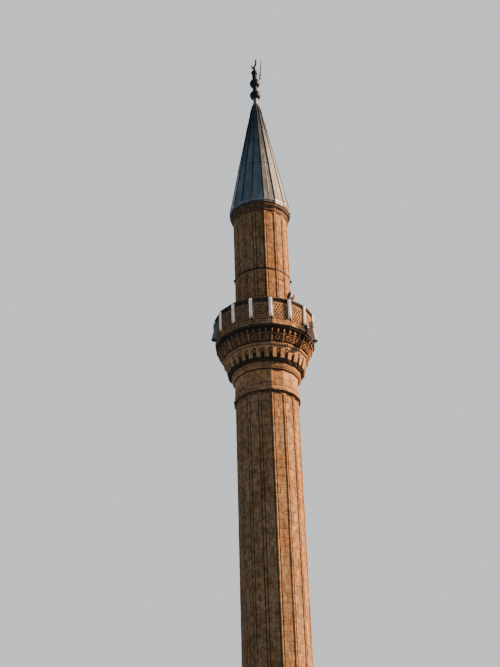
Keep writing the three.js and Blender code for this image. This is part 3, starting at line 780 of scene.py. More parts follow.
def rib_relief(plan, rows, panel_foot, panel_head, stone):
    """Relief of panels between ribs. A panel is a round-cornered rectangle with a flat groove
    outside its edge; beyond it a roll stands on the corner, half an ellipse of the distance
    from it, and dies into the plain bands."""
    across = plan.from_corner[None, :] - stone.rib_half
    upward = np.minimum(panel_head - rows.height, rows.height - panel_foot)[:, None]
    short = np.minimum(across, upward)
    corner = FRAME_CORNER - np.hypot(np.maximum(FRAME_CORNER - across, 0),
                                     np.maximum(FRAME_CORNER - upward, 0))
    inside = np.where((across < FRAME_CORNER) & (upward < FRAME_CORNER), corner, short)
    groove = np.interp(inside, [-0.034, -0.028, -0.010, 0], [0, 1, 1, 0])
    share = clamp(plan.from_corner / ROLL_HALF)[None, :]
    roll = ROLL_REACH - ROLL_FALL * (1 - np.sqrt(1 - share ** 2))
    roll = np.where(plan.from_corner[None, :] <= ROLL_HALF + 1e-6, roll, 0.0)
    standing = ease(upward / 0.03 + 1)
    relief = roll * standing - stone.groove_depth * groove
    return relief * rows.face[:, None], groove * rows.face[:, None]


def ribbed_wall(plan, ends, joints, panel, bore, seed, shares):
    """Table of a ribbed wall between two (radius, height) ends, with its stones and grooves."""
    stone = bpy.context.scene.minaret_stone
    extra = [panel[1] + d for d in HEAD_STEPS] + [panel[0] - d for d in HEAD_STEPS]
    rows = Rows(wall_profile(*ends, joints, stone.joint_half, extra), bore, joints)
    stones = Stones(plan, rows, shares, 3, seed, stone.joint_depth)
    relief, groove = rib_relief(plan, rows, *panel, stone)
    return rows, plan.points(rows, relief + stones.relief), stones, groove


def wall_piece(name, node, built, columns, jamb=(), crease=24):
    """Makes a stretch of a wall with closed ends, its jamb squared beside a doorway."""
    rows, points, stones, groove = built
    points = points[:, columns].copy()
    if jamb:
        square_jamb(points, rows, *jamb)
    # Painted shade: the grooves beside the ribs are darkened by their mask through the crust
    # value.
    Piece().grid(points, over=True, ends=True, tone=stones.tone[:, columns],
                 joint=stones.joint[:, columns], hollow=groove[:, columns]).make(
        name, "ashlar", node, crease)


def walls_with_door(kind, plan, quarters, walled, doorway, *room):
    """Three whole walls, and the back one as two jambs and the courses over its doorway."""
    low, high = span(f"{kind}_wall_front")
    lintel = foot(f"{kind}_wall_over_door")
    whole, jambs, over = walled(low, high), walled(low, lintel), walled(lintel, high)
    for number in (0, 1, 3):
        wall_piece(f"ashlar_{kind}_{QUARTERS[number]}", f"{kind}_wall_{QUARTERS[number]}",
                   whole, quarters[number])
    back, (right, left) = quarters[2], doorway
    jamb = (abs(jambs[1][1, right, 0]), *room)
    for side, ends in (("right", (back[0], right)), ("left", (left, back[-1]))):
        wall_piece(f"ashlar_{kind}_door_{side}", f"{kind}_wall_back_{side}", jambs,
                   plan.stretch(*ends), jamb)
    wall_piece(f"ashlar_{kind}_over_door", f"{kind}_wall_over_door", over, back)


def square_jamb(points, rows, edge, end, face_radius=None):
    """Moves the inner points of a wall beside a doorway so that its jamb runs straight in: by
    stretching their distance from the doorway's middle, on a round bore along its circle."""
    inner = rows.face == 0
    x, y = points[inner, :, 0], points[inner, :, 1]
    sign = np.sign(x[0, np.argmax(np.abs(x[0]))])
    near = np.abs(x).min()
    moved = np.interp(np.abs(x), [near, end], [edge, end])
    if face_radius is not None:
        y = np.sqrt(np.maximum(face_radius ** 2 - moved ** 2, 0)) * np.sign(y)
    points[inner, :, 0], points[inner, :, 1] = sign * moved, y


class MINARET_OT_shaft(bpy.types.Operator):
    """Ribbed shaft in four quarters of coursed ashlar, each side a sunk panel between rolls"""

    bl_idname = "minaret.shaft"
    bl_label = "Shaft"

    def execute(self, context):
        stone = context.scene.minaret_stone
        low, high = span("shaft_wall_front")
        shares = (-0.3, 0, 0.3)
        plan = Plan(SIDES, SHAFT_FOOT_RADIUS, rib_stations(shares, stone.joint_half),
                    stone.rib_half)
        joints = np.linspace(low, high, round((high - low) / stone.course) + 1)
        wall = ribbed_wall(plan, ((SHAFT_FOOT_RADIUS, low), (SHAFT_TOP_RADIUS, high)), joints,
                           (low + BAND_BELOW, high - BAND_ABOVE), SHAFT_BORE, stone.seed, shares)
        for name, columns in zip(QUARTERS, plan.quarters(-2, 0)):
            wall_piece(f"ashlar_shaft_{name}", f"shaft_wall_{name}", wall, columns)
        return {"FINISHED"}


class MINARET_OT_upper_shaft(bpy.types.Operator):
    """Ribbed shaft over the balcony with its doorway at the back, iron hoop and cornice"""

    bl_idname = "minaret.upper_shaft"
    bl_label = "Upper Shaft"

    def execute(self, context):
        stone = context.scene.minaret_stone
        low, high = span("upper_wall_front")
        lintel = foot("upper_wall_over_door")
        shares = (-0.22, 0, 0.22)
        plan = Plan(SIDES, UPPER_RADIUS, rib_stations(shares, stone.joint_half), stone.rib_half)
        joints = np.unique(np.concatenate([
            np.linspace(*ends, round((ends[1] - ends[0]) / stone.upper_course) + 1)
            for ends in ((low, lintel), (lintel, high))]))

        def walled(bottom, top):
            panel = (low + BAND_BELOW, high - BAND_ABOVE)
            return ribbed_wall(plan, ((UPPER_RADIUS, bottom), (UPPER_RADIUS, top)), joints,
                               panel, UPPER_BORE, stone.seed + 1, shares)

        doorway = plan.column(7, 1, -0.120), plan.column(9, -1, 0.120)
        walls_with_door("upper", plan, plan.quarters(-2, 0), walled, doorway,
                        UPPER_BORE * 0.7, UPPER_BORE * APOTHEM)
        self.cornice()
        self.hoop()
        return {"FINISHED"}

    def cornice(self):
        """Cornice: fillet, deep cove and fascia, carried round the sixteen sides."""
        profile = path_of((0.962, 0), (0.968, 0.035), (0.988, 0.038), (0.990, 0.065),
                          arc((0.972, 0.068), (1.028, 0.20), -0.22, 7), (1.040, 0.205),
                          (1.042, 0.25), (1.050, 0.252), (1.050, tall("upper_cornice")))
        # Darker towards the top under the eave, with painted shade on the side near 18 degrees.
        grime_and_shade = np.interp(profile[:, 1], [0, 0.15, 0.22], [0.30, 0.42, 0.75])
        moulding("upper_cornice_moulding", "upper_cornice", profile, UPPER_BORE, seed=21,
                 grime_and_shade=np.append(grime_and_shade, [0, 0]), painted_shade=1.0)

    def hoop(self):
        """Iron hoop on the rolls, with a clamp and bolt at each side, and a short cramp."""
        low, high = span("iron_hoop")
        plan = Plan(SIDES, 0.975, evenly(4))
        inner, outer = UPPER_RADIUS + 0.010, UPPER_RADIUS + 0.021
        rows = Rows(path_of((inner, low), (outer, low + 0.003), (outer, high - 0.003),
                            (inner, high)))
        piece = Piece().ring(plan.points(rows))
        middle = (low + high) / 2
        lug = soft_box(0.075, 0.05, 0.006) * (1, 0.28)
        for turn in (np.radians(93), np.radians(-78), np.radians(182)):
            way = polar(1, turn)
            for side in (-1, 1):
                start = lifted(way * (outer * APOTHEM - 0.005), middle)
                start += lifted(polar(side * 0.022, turn + np.pi / 2), 0)
                path = start + np.outer(np.linspace(0, 0.055, 3), lifted(way, 0))
                piece.bar(path, lug)
            across = lifted(polar(1, turn + np.pi / 2), 0)
            bolt = lifted(way * (outer * APOTHEM + 0.030), middle) + np.outer(
                np.linspace(-0.06, 0.06, 4), across)
            piece.bar(bolt, round_section(0.011, 8))
        piece.make("iron_hoop_band", "iron", "iron_hoop")
        turns = np.linspace(np.radians(33), np.radians(55), 9)
        reach = (UPPER_RADIUS * APOTHEM + 0.004) / np.cos(off_middle(turns))
        path = lifted(polar(reach, turns), middle - 0.355)
        Piece().bar(path, soft_box(0.030, 0.026, 0.004)).make("wall_cramp", "iron")


# ---------------------------------------------------------------- mouldings

SHADE_HEIGHT = 0.045
SHADE_REACH = 0.035
PAINTED_SHADE_SIDE = 18

def stations_of(ends, shares, edge, half=1.0):
    """Stations of one side from left to right: the given ones, and three for each upright
    joint."""
    cut = [(share, pin) for share in shares for pin in (-edge, 0, edge)]
    return sorted([*ends, *cut], key=lambda station: station[0] * half + station[1])


def moulding(name, node, profile, bore, seed=1, sides=SIDES, shares=(-0.5, 0.0, 0.5),
             ends=((-1, 0), (-1, 0.03), (-0.75, 0), (0.75, 0), (1, -0.03)), joints=UNCUT,
             step=3, depth=0.8, lean=0.0008, grime_and_shade=0.0, painted_shade=0.0, finish="ashlar", crease=28):
    """A profile over a node's foot, carried round as courses of stones. It gets the dark crust, as
    dirt and painted shade, where something near in height stands out further, a given amount of
    it all over, and painted shade on one side. Without a bore it goes in to a small middle disc,
    and only its outer part is cut."""
    stone = bpy.context.scene.minaret_stone
    profile = np.array(profile, float) + (0, foot(node))
    plan = Plan(sides, profile[:, 0].max(), stations_of(ends, shares, stone.joint_half))
    rows = Rows(profile, bore, np.add(joints, foot(node)))
    cut = Stones(plan, rows, shares, step, seed, stone.joint_depth * depth, lean)
    near = (rows.radius > 0.85 * plan.radius)[:, None] if bore is None else 1
    beside = np.abs(rows.height[:, None] - rows.height) < SHADE_HEIGHT
    reach = np.where(beside * rows.face, rows.radius, 0).max(axis=1)
    # Painted shade with dirt under whatever stands out above within SHADE_HEIGHT, a given amount
    # all over, and painted shade on the side near the given angle.
    hollow = clamp((reach - rows.radius) / SHADE_REACH) * (bore is not None)
    hollow = (hollow + grime_and_shade)[:, None] + painted_shade * near_angle(plan.base, PAINTED_SHADE_SIDE, 20)
    hollow = clamp(hollow) * rows.face[:, None]
    Piece().grid(plan.points(rows, cut.relief * near), around=True, over=bore is not None,
                 lids=bore is None, tone=cut.tone, joint=cut.joint * near,
                 hollow=hollow).make(name, finish, node, crease)


class MINARET_OT_collar(bpy.types.Operator):
    """Moulded foot of the shaft, collar and drum"""

    bl_idname = "minaret.collar"
    bl_label = "Collar"

    def execute(self, context):
        self.shaft_foot()
        self.collar()
        self.drum()
        return {"FINISHED"}

    def shaft_foot(self):
        """Torus between fillets, half a sine across its chord."""
        high = tall("shaft_foot_moulding")
        profile = path_of((1.150, 0), (1.158, 0.03), (1.196, 0.032),
                          arc((1.196, 0.036), (1.190, 0.145), 0.22, 8), (1.172, 0.150),
                          (1.170, 0.168), arc((1.160, 0.170), (1.128, high), -0.15, 5))
        moulding("shaft_foot_torus", "shaft_foot_moulding", profile, SHAFT_BORE, seed=11)

    def collar(self):
        """Collar: a flat soffit over a hollow, so that it throws a deep line of shade."""
        profile = path_of((1.046, 0), (1.020, 0.006), (1.020, 0.068), (1.112, 0.074),
                          arc((1.117, 0.080), (1.112, 0.138), 0.12, 6), (1.096, 0.144),
                          (1.078, tall("collar_moulding")))
        # Painted shade: the hollow and soffit under the collar are darkened, to deepen its line of
        # shade.
        grime_and_shade = (profile[:, 1] < 0.076) * 0.8
        moulding("collar_stone", "collar_moulding", profile, CORBEL_BORE, seed=12,
                 grime_and_shade=np.append(grime_and_shade, [0, 0]))

    def drum(self):
        """Plain drum of two courses with a thin round string a little over its foot."""
        high, joint, edge = tall("collar_drum"), 0.335, bpy.context.scene.minaret_stone.joint_half
        body = [(1.074, 0), (1.074, edge), (1.074, 0.072), (1.086, 0.078), (1.090, 0.090),
                (1.086, 0.102), (1.070, 0.108)]
        body += [(np.interp(z, [0, high], [1.072, 1.066]), z)
                 for z in (joint - edge, joint, joint + edge, high - edge, high)]
        moulding("drum_ashlar", "collar_drum", body, CORBEL_BORE, seed=10, joints=(0, joint, high),
                 depth=1.0, lean=0.0015, finish="pale", crease=24)


# ---------------------------------------------------------------- carved courses


class Ring(Plan):
    """The columns of a carved ring, at equal angles. They reach out by 1 on a round ring, and
    on flat sides by the apothem over the cosine of the angle from the side's middle."""

    def __init__(self, count, flat_sides=True):
        self.angle = circle(count)
        flat = APOTHEM / np.cos(off_middle(self.angle))
        self.reach = flat if flat_sides else np.ones(count)
        self.base = self.out = polar(self.reach, self.angle)
        self.share, self.slip, self.radius = self.angle, 0 * self.base, 1.0

    def cell(self, number, middle=0.0):
        """Signed share of the way across each of several cells, and the cell's number."""
        place = (self.angle - middle) * number / FULL
        return (place - np.round(place))[None, :], np.round(place).astype(int) % number


def dense(profile, step):
    """The same profile with each straight part cut into equal ones no longer than step."""
    profile = np.array(profile, float)
    parts = []
    for start, end in zip(profile[:-1], profile[1:]):
        count = max(1, int(np.ceil(np.linalg.norm(end - start) / step)))
        parts.append(start + (end - start) * np.arange(count)[:, None] / count)
    return np.vstack([*parts, profile[-1:]])


def carved(name, node, ring, rows, offset, hollow, seed=1, tone=None):
    """Makes one carved ring from its relief and its dark crust, which paints shade in its
    recesses.
    """
    if tone is None:
        tone = 0.5 + 0.35 * ripple(seed, 9 * np.sin(ring.angle * 5), 8 * np.cos(ring.angle * 7))
    Piece().ring(ring.points(rows, offset), tone=clamp(tone),
                 hollow=clamp(hollow) * rows.face[:, None]).make(name, "carved", node, 40)


class MINARET_OT_carvings(bpy.types.Operator):
    """Carved ring, niches with their rope, and the two tiers of pendants under the balcony"""

    bl_idname = "minaret.carvings"
    bl_label = "Carvings"

    def execute(self, context):
        self.scrolls()
        self.niches()
        self.valance()
        self.rope()
        self.lower_tier()
        self.upper_tier()
        return {"FINISHED"}

    def scrolls(self):
        """Two strands over a groove, a cosine and its mirror image of 48 half waves, with a boss
        in each eye and leaves at each crossing."""
        low, high = span("carved_ring")
        profile = dense([(1.056, low), (1.040, low + 0.006), (1.040, low + 0.024),
                         (1.118, low + 0.027), (1.134, low + 0.034), (1.158, low + 0.075),
                         (1.171, low + 0.140), (1.168, low + 0.195), (1.158, high - 0.016),
                         (1.130, high)], 0.0075)
        scrolls, swing, sunk = 48, 0.060, 0.026
        ring, rows = Ring(scrolls * 22), Rows(profile, CORBEL_BORE)
        pitch = FULL * 1.16 / scrolls
        u, number = ring.cell(scrolls)
        v = (rows.height - (low + 0.138))[:, None]
        wave, slope = swing * np.cos(np.pi * u), swing * np.pi / pitch * np.sin(np.pi * np.abs(u))
        strands = [ease(1.7 - np.abs(v - side * wave) / np.hypot(1, slope) / 0.0135)
                   for side in (-1, 1)]
        boss = ease((0.034 - np.hypot(u * pitch, v)) / 0.010)
        leaf = ease(1.6 - np.hypot((0.5 - np.abs(u)) * pitch / 0.028, (np.abs(v) - 0.060) / 0.026))
        fillet = ease((np.abs(v) - 0.088) / 0.006)
        raised = highest(*strands, boss * 0.9, leaf * 0.8, fillet)
        groove = (rows.height < low + 0.026)[:, None]
        inset = -sunk * (1 - raised) * (~groove) * rows.face[:, None]
        tone = 0.15 + 0.3 * np.random.default_rng(3).random(scrolls)[number]
        # Painted shade: the foot groove is fully dark, and the sunk ground between the strands is
        # darker on the lit side than on the shade side.
        deep = 0.7 - 0.45 * shady(ring.base)
        carved("carved_scrolls", "carved_ring", ring, rows, inset,
               np.where(groove, 1.0, -inset / sunk * deep), tone=tone)

    def niches(self):
        """Course of 30 niches by the distance from the middle: |x| below the spring, the way
        from the head's middle above it. A tongue in each head sinks away downwards."""
        low, high = span("niche_course")
        face_foot, face_head = (1.303, low + 0.088), (1.384, high - 0.134)
        profile = dense([(1.120, low), (1.150, low + 0.012), (1.262, low + 0.030),
                         (1.286, low + 0.070), (1.300, low + 0.080), face_foot,
                         face_head, (1.384, high - 0.118), (1.350, high - 0.112),
                         (1.350, high)], 0.010)
        ring, rows = Ring(NICHES * 36), Rows(profile, CORBEL_BORE)
        u, number = ring.cell(NICHES, NICHE_START)
        x = np.abs(u) * (FULL / NICHES) * rows.radius[:, None]
        z = rows.height[:, None]
        outline = np.hypot(x, np.maximum(z - NICHE_SPRING, 0))
        cut = ease((0.069 - outline) / 0.007)
        tongue = ease((0.036 - outline) / 0.008) * ease((z - 24.74) / 0.09)
        front = np.interp(rows.height, *zip(face_foot[::-1], face_head[::-1]))[:, None]
        wanted = front - 0.080 * cut + 0.066 * tongue
        radius = rows.radius[:, None]
        course = (rows.height < high - 0.130)[:, None] * rows.face[:, None]
        offset = np.minimum(wanted - radius, 0) * course
        rows.outward, rows.upward = rows.face, 0 * rows.face
        # Painted shade in the niches' recesses, on the soffit under the course and on the ledge
        # under the rope.
        soffit = np.interp(rows.height, [low, low + 0.08, low + 0.09], [1, 0.9, 0])[:, None]
        ledge = (rows.height > high - 0.117)[:, None] * 1.0
        tone = np.random.default_rng(5).random(NICHES)[number]
        carved("niche_course_stone", "niche_course", ring, rows, offset,
               highest(-offset / 0.105, soffit, ledge), tone=tone)

    def valance(self):
        """Pointed teeth that hang under the niches: the lower edge is a triangle wave."""
        low = foot("niche_course")
        ring = Ring(60 * 4)
        points = ring.points(Rows([(1.226, low + 0.030), (1.226, low + 0.070)], 1.196))
        u, _ = ring.cell(60, NICHE_START)
        points[[0, 3], :, 2] -= 0.040 * (1 - 2 * np.abs(u))
        # Painted shade: the teeth are darkened as if shaded by the course above.
        Piece().ring(points, tone=0.2, hollow=0.75).make("pointed_valance", "carved")

    def rope(self):
        """Rope moulding: a torus whose radius falls to a cusp between 90 strands, which lean by
        a share of the angle round the torus."""
        middle = head("niche_course") - 0.050
        strands, centre, thick = 90, 1.400, 0.055
        ring = Ring(strands * 12)
        section = circle(14)[:, None]
        strand = np.abs(np.sin(strands / 2 * ring.angle[None, :] + 0.95 * section))
        tube = thick * (0.56 + 0.44 * np.sqrt(strand))
        flat = polar((centre + tube * np.cos(section)) * ring.reach, ring.angle)
        table = lifted(flat, middle + tube * np.sin(section))
        # Painted shade in the cusps between the strands.
        Piece().ring(table, tone=0.25, hollow=clamp(0.95 - 2.2 * strand)).make(
            "rope_moulding", "carved", crease=70)

    def lower_tier(self):
        """Openwork of 24 round bars, and between two of them an eight-pointed star, the lesser
        of two squares' distances, with a pair of rings on each side."""
        low, high = span("corbel_tier_lower")
        profile = dense([(1.462, low), (1.562, high)], 0.0098)
        count = 24
        ring, rows = Ring(count * 44, False), Rows(profile, CORBEL_BORE)
        u, _ = ring.cell(count, TURN / 2)
        x = np.abs(u) * (FULL / count) * rows.radius[:, None]
        gap = (0.5 - np.abs(u)) * (FULL / count) * rows.radius[:, None]
        z = rows.height[:, None] - low
        bars = np.sqrt(clamp(1 - (x / 0.030) ** 2)) * ease(z / 0.03)
        v = z - 0.122
        upright, slanted = np.maximum(gap, np.abs(v)), (gap + np.abs(v)) / np.sqrt(2)
        star = highest(*(ease(1.5 - np.abs(side - 0.060) / 0.009) for side in (upright, slanted)))
        star *= np.minimum(upright, slanted) < 0.074
        boss = ease((0.026 - np.hypot(gap, v)) / 0.010)
        rings = ease(1.5 - np.abs(np.hypot(gap - 0.122, np.abs(v) - 0.052) - 0.034) / 0.009)
        fillet = ease((z - (high - low) + 0.018) / 0.005)
        raised = highest(bars, star * 0.78, boss * 0.7, rings * 0.72, fillet * 0.8)
        depth = 0.078 * (1 - raised) * rows.face[:, None]
        # Painted shade in the openwork's recesses and on the side away from the light, and the
        # right horn's painted shadow.
        shade = shady(ring.base)
        carved("openwork_tier", "corbel_tier_lower", ring, rows, -depth,
               depth / 0.08 * (1 - 0.6 * shade) - 0.16 + 0.42 * shade
               + 0.22 * near_angle(ring.base, RIGHT_HORN, 26), seed=41)

    def upper_tier(self):
        """Tier of 48 narrow pendants with pointed feet, which spread into arches over a step
        back."""
        low, high = span("corbel_tier_upper")
        profile = dense([(1.588, low), (1.622, low + 0.145), (1.640, high)], 0.0105)
        count = 48
        ring, rows = Ring(count * 22, False), Rows(profile, CORBEL_BORE)
        u, _ = ring.cell(count, TURN / 2)
        x = np.abs(u) * (FULL / count) * rows.radius[:, None]
        z = rows.height[:, None] - low
        half = 0.008 + 0.018 * ease(z / 0.05) + 0.070 * ease((z - 0.135) / 0.065)
        front = ease((half - x) / 0.009 + 0.5)
        back = 0.105 * ease((z - 0.128) / 0.016) + 0.016 * clamp(x / 0.026) ** 2
        depth = np.maximum(0.090 * (1 - front), back * front) * rows.face[:, None]
        # Painted shade between and behind the pendants and on the side away from the light, and
        # the right horn's painted shadow near 57 degrees.
        shade = shady(ring.base)
        grime_and_shade = highest(depth / 0.05 * (1 - 0.45 * shade) - 0.25, shade * 0.45,
                        near_angle(ring.base, 57, 16) * 0.9)
        carved("pendant_tier", "corbel_tier_upper", ring, rows, -depth, grime_and_shade, seed=43)


# ---------------------------------------------------------------- balcony


class MINARET_OT_balcony(bpy.types.Operator):
    """Balcony floor with its fascia, pierced balustrade, pale corner posts and rail"""

    bl_idname = "minaret.balcony"
    bl_label = "Balcony"

    def execute(self, context):
        self.floor_slab()
        self.balustrade()
        self.posts()
        self.rail()
        return {"FINISHED"}

    def floor_slab(self):
        """Slabs of the walkway, in to a small middle disc. The side away from the light gets
        painted shade, the stone beside the right horn is painted black as the horn's shadow, and
        the cove under the fascia gets painted shade."""
        low, high = span("balcony_floor")
        cove = arc((1.634, low - 0.006), (1.682, low + 0.052), -0.2, 5)
        profile = path_of((0.30, low), (1.628, low), cove, (1.698, low + 0.054),
                          (1.700, low + 0.060), (1.700, high - 0.034), (1.692, high - 0.028),
                          (1.692, high - 0.006), (1.684, high), (1.30, high), (0.30, high))
        plan = Plan(SIDES, 1.70, [(-1, 0), (-1, 0.006), (-0.6, 0), (-0.2, 0), (0.2, 0),
                                  (0.6, 0), (1, -0.006)])
        rows = Rows(profile)
        cut = ((plan.share == -1) & (plan.pin == 0)) * (rows.radius > 1.2)[:, None] * 1.0
        tone = np.random.default_rng(8).random(SIDES)[plan.side]
        # Painted shade on the side away from the light, the right horn's painted shadow near 57
        # degrees, and painted shade in the cove under the fascia.
        hollow = shady(plan.base) * 0.38 + near_angle(plan.base, 57, 21)
        hollow = hollow[None, :] + 0.7 * (rows.height < low + 0.053)[:, None]
        table = plan.points(rows, -0.006 * cut)
        Piece().solid(table, tone=tone, joint=cut, hollow=clamp(hollow)).make(
            "walkway_slabs", "carved", "balcony_floor", 28)

    def lattice(self, piece, width, low, high, plane):
        """Pierced lattice in one bay: three families of straps, 60 degrees apart, whose lines
        lie at odd halves of the pitch. Each weaves as a cosine of the way along it."""
        pitch, weave, half, back = 0.087, 0.0045, 0.0195, -0.062
        cross = pitch / np.sqrt(3)
        middle = (low + high) / 2
        size = np.array([width / 2 + 0.008, (high - low) / 2 + 0.008])
        section = np.array([[half, back], [half, 0.002], [half - 0.009, 0.012],
                            [0.009 - half, 0.012], [-half, 0.002], [-half, back]])
        deep = np.interp(section[:, 1], [back, 0.012], [1.6, 0.0])[None, :]
        for family in range(3):
            lean, other = np.radians(60 * family), np.radians(60 * family + 60)
            ahead = np.array([np.cos(lean), np.sin(lean)])
            across = np.array([-ahead[1], ahead[0]])
            normal = np.array([-np.sin(other), np.cos(other)])
            count = int(np.ceil(size.sum() / pitch)) + 1
            for line in range(-count, count):
                start = across * (line + 0.5) * pitch
                with np.errstate(divide="ignore"):
                    limits = np.stack([(-size - start) / ahead, (size - start) / ahead])
                first, last = np.nanmax(limits.min(0)), np.nanmin(limits.max(0))
                if last - first < 0.03:
                    continue
                shift = (0.5 * pitch - start @ normal) / (ahead @ normal)
                steps = np.arange(np.ceil((first - shift) / (cross / 2)),
                                  np.floor((last - shift) / (cross / 2)) + 1)
                way = np.unique(np.concatenate([[first], shift + steps * cross / 2, [last]]))
                way = way[np.concatenate([[True], np.diff(way) > 0.004])]
                lift = weave * np.cos(np.pi * (way - shift) / cross)
                spot = start + way[:, None] * ahead
                path = np.column_stack([spot[:, 0], -(plane + lift), spot[:, 1] + middle])
                table = (path[:, None] + section[:, :1] * np.array([across[0], 0.0, across[1]])
                         + section[:, 1:] * np.array([0, -1, 0]))
                # Painted shade deeper into the lattice's holes, and the whole lattice a little
                # darker.
                piece.solid(table, hollow=clamp(deep + 0.22))

    def bay_frame(self, piece, width, low, high, plane):
        """Frame of one bay: a moulded section carried round a rectangle with mitred corners."""
        section = np.array([[0.0, -0.085], [0.0, -0.030], [-0.006, -0.012], [-0.012, -0.004],
                            [-0.022, 0.0], [-0.050, 0.0], [-0.050, -0.085]])
        half = width / 2
        corners = np.array([[-half, low], [half, low], [half, high], [-half, high]])
        grow = np.array([[-1, -1], [1, -1], [1, 1], [-1, 1]])
        table = np.empty((4, len(section), 3))
        flat = corners[:, None] - grow[:, None] * section[None, :, :1]
        table[..., 0], table[..., 2] = flat[..., 0], flat[..., 1]
        table[..., 1] = -(plane + section[None, :, 1])
        piece.ring(table[:, ::-1], tone=0.5)

    def balustrade(self):
        """Eight lengths of two bays: frames, lattices, a kerb, and a band under the rail. The band
        under the rail and the side away from the light get painted shade, and the foot beside the
        right horn is painted black as the horn's shadow."""
        low, high = span("balustrade_1")
        plane = PANEL_RADIUS * APOTHEM
        opening = 2 * PANEL_RADIUS * np.sin(np.pi / SIDES) - 2 * 0.085
        low_open, high_open = low + 0.068, high - 0.158
        bay = Piece()
        self.lattice(bay, opening, low_open, high_open, plane - 0.018)
        self.bay_frame(bay, opening, low_open, high_open, plane - 0.002)
        kerb = path_of((1.590, 0), (1.672, 0), (1.672, 0.010), (1.694, 0.014), (1.694, 0.036),
                       (1.684, 0.044), (1.590, 0.060)) + (0, low)
        band = path_of((1.590, -0.150), (1.672, -0.150), (1.674, -0.110), (1.658, -0.104),
                       (1.658, 0), (1.590, 0)) + (0, high)
        plan = Plan(SIDES, 1.69, evenly(4))
        # Painted shade: the band under the rail is darkened as if shaded by it, the kerb a little.
        for section, hollow in ((kerb, 0.15), (band, 0.7)):
            rows = Rows(section)
            columns = np.append(plan.stretch(0, 3), 4)
            bay.grid(plan.points(rows)[:, columns], over=True, ends=True, tone=0.6, hollow=hollow)
        for number in range(1, 9):
            bays = deepcopy(bay).copies([(2 * number - 1) * TURN, 2 * number * TURN])
            points = np.concatenate(bays.points)
            # The right horn's painted shadow on the foot of the nearby bays, and painted shade on
            # the side away from the light.
            crust_shade_mix = near_angle(points, RIGHT_HORN, 19) * ease((low + 0.36 - points[:, 2]) / 0.22)
            shade = 0.40 * shady(points) * (points[:, 2] > low + 0.06)
            painted_shadow_shade = highest(crust_shade_mix, shade) * [[0], [0], [1]]
            bays.values = [np.maximum(np.hstack(bays.values), painted_shadow_shade)]
            bays.make(f"pierced_slabs_{number}", "carved", f"balustrade_{number}", 35)

    def posts(self):
        """Sixteen half-round marble posts on stone backings: half an ellipse across, with a
        foot cut to an inverted V, a shaft, a ring and a capital."""
        low, back = foot("balustrade_1"), 1.688
        outline = np.array([
            [0.150, 0.056], [0.155, 0.056], [0.185, 0.057], [0.235, 0.058], [0.270, 0.059],
            [0.292, 0.059], [0.298, 0.053], [0.306, 0.053], [0.340, 0.055], [0.460, 0.057],
            [0.580, 0.056], [0.668, 0.053], [0.680, 0.048], [0.686, 0.055], [0.704, 0.057],
            [0.710, 0.048], [0.718, 0.048], [0.724, 0.059], [0.755, 0.061], [0.815, 0.061],
            [0.858, 0.060], [0.868, 0.055]])
        z, half = low + outline[:, :1], outline[:, 1:]
        turn = np.linspace(0, np.pi, 17)
        x = half * np.cos(turn)
        front = back + 0.84 * half * np.sin(turn)
        rise = 0.15 * clamp(1 - np.abs(x) / 0.052) * clamp((low + 0.45 - z) / 0.30)
        table = np.stack([x, -front, z + rise], axis=-1)
        # Painted shade in the narrow rings and under the foot of each marble plate.
        neck = np.interp(half - outline[:, 1:].min(), [0, 0.006], [0.3, 0])
        neck[0] = 1.6
        posts = Piece().solid(table[:, ::-1], tone=0.5, hollow=neck)
        places = [(k + 0.5) * TURN - POST_SHIFT for k in range(SIDES)]
        posts.copies(places).make("marble_plates", "marble", crease=35)
        section = np.array([[0.050, -back], [0.050, -1.560], [-0.050, -1.560], [-0.050, -back]])
        heights = (low + 0.100, low + 0.160, low + 0.175, head("balustrade_1"))
        table = np.stack([lifted(section, height) for height in heights])
        table[:2, [0, 3], 1] += 0.030
        table[0, [0, 3], 1] += 0.030
        # Painted shade on the backings, darkest at the foot under the plates.
        backing = Piece().solid(table, tone=0.4, hollow=[[1.0], [0.8], [0.4], [0.4]])
        backing.copies(places).make("post_backings", "carved", crease=35)

    def rail(self):
        """Rail: three small steps under a rounded top."""
        high = tall("balcony_rail")
        profile = path_of((1.680, 0), (1.690, 0.004), (1.690, 0.016), (1.700, 0.019),
                          (1.700, 0.034), (1.708, 0.038),
                          arc((1.709, 0.042), (1.690, high), 0.22, 5), (1.575, high),
                          (1.562, high - 0.012))
        moulding("rail_stone", "balcony_rail", profile, 1.562, seed=13, grime_and_shade=0.5, finish="carved")


# ---------------------------------------------------------------- cone and finial


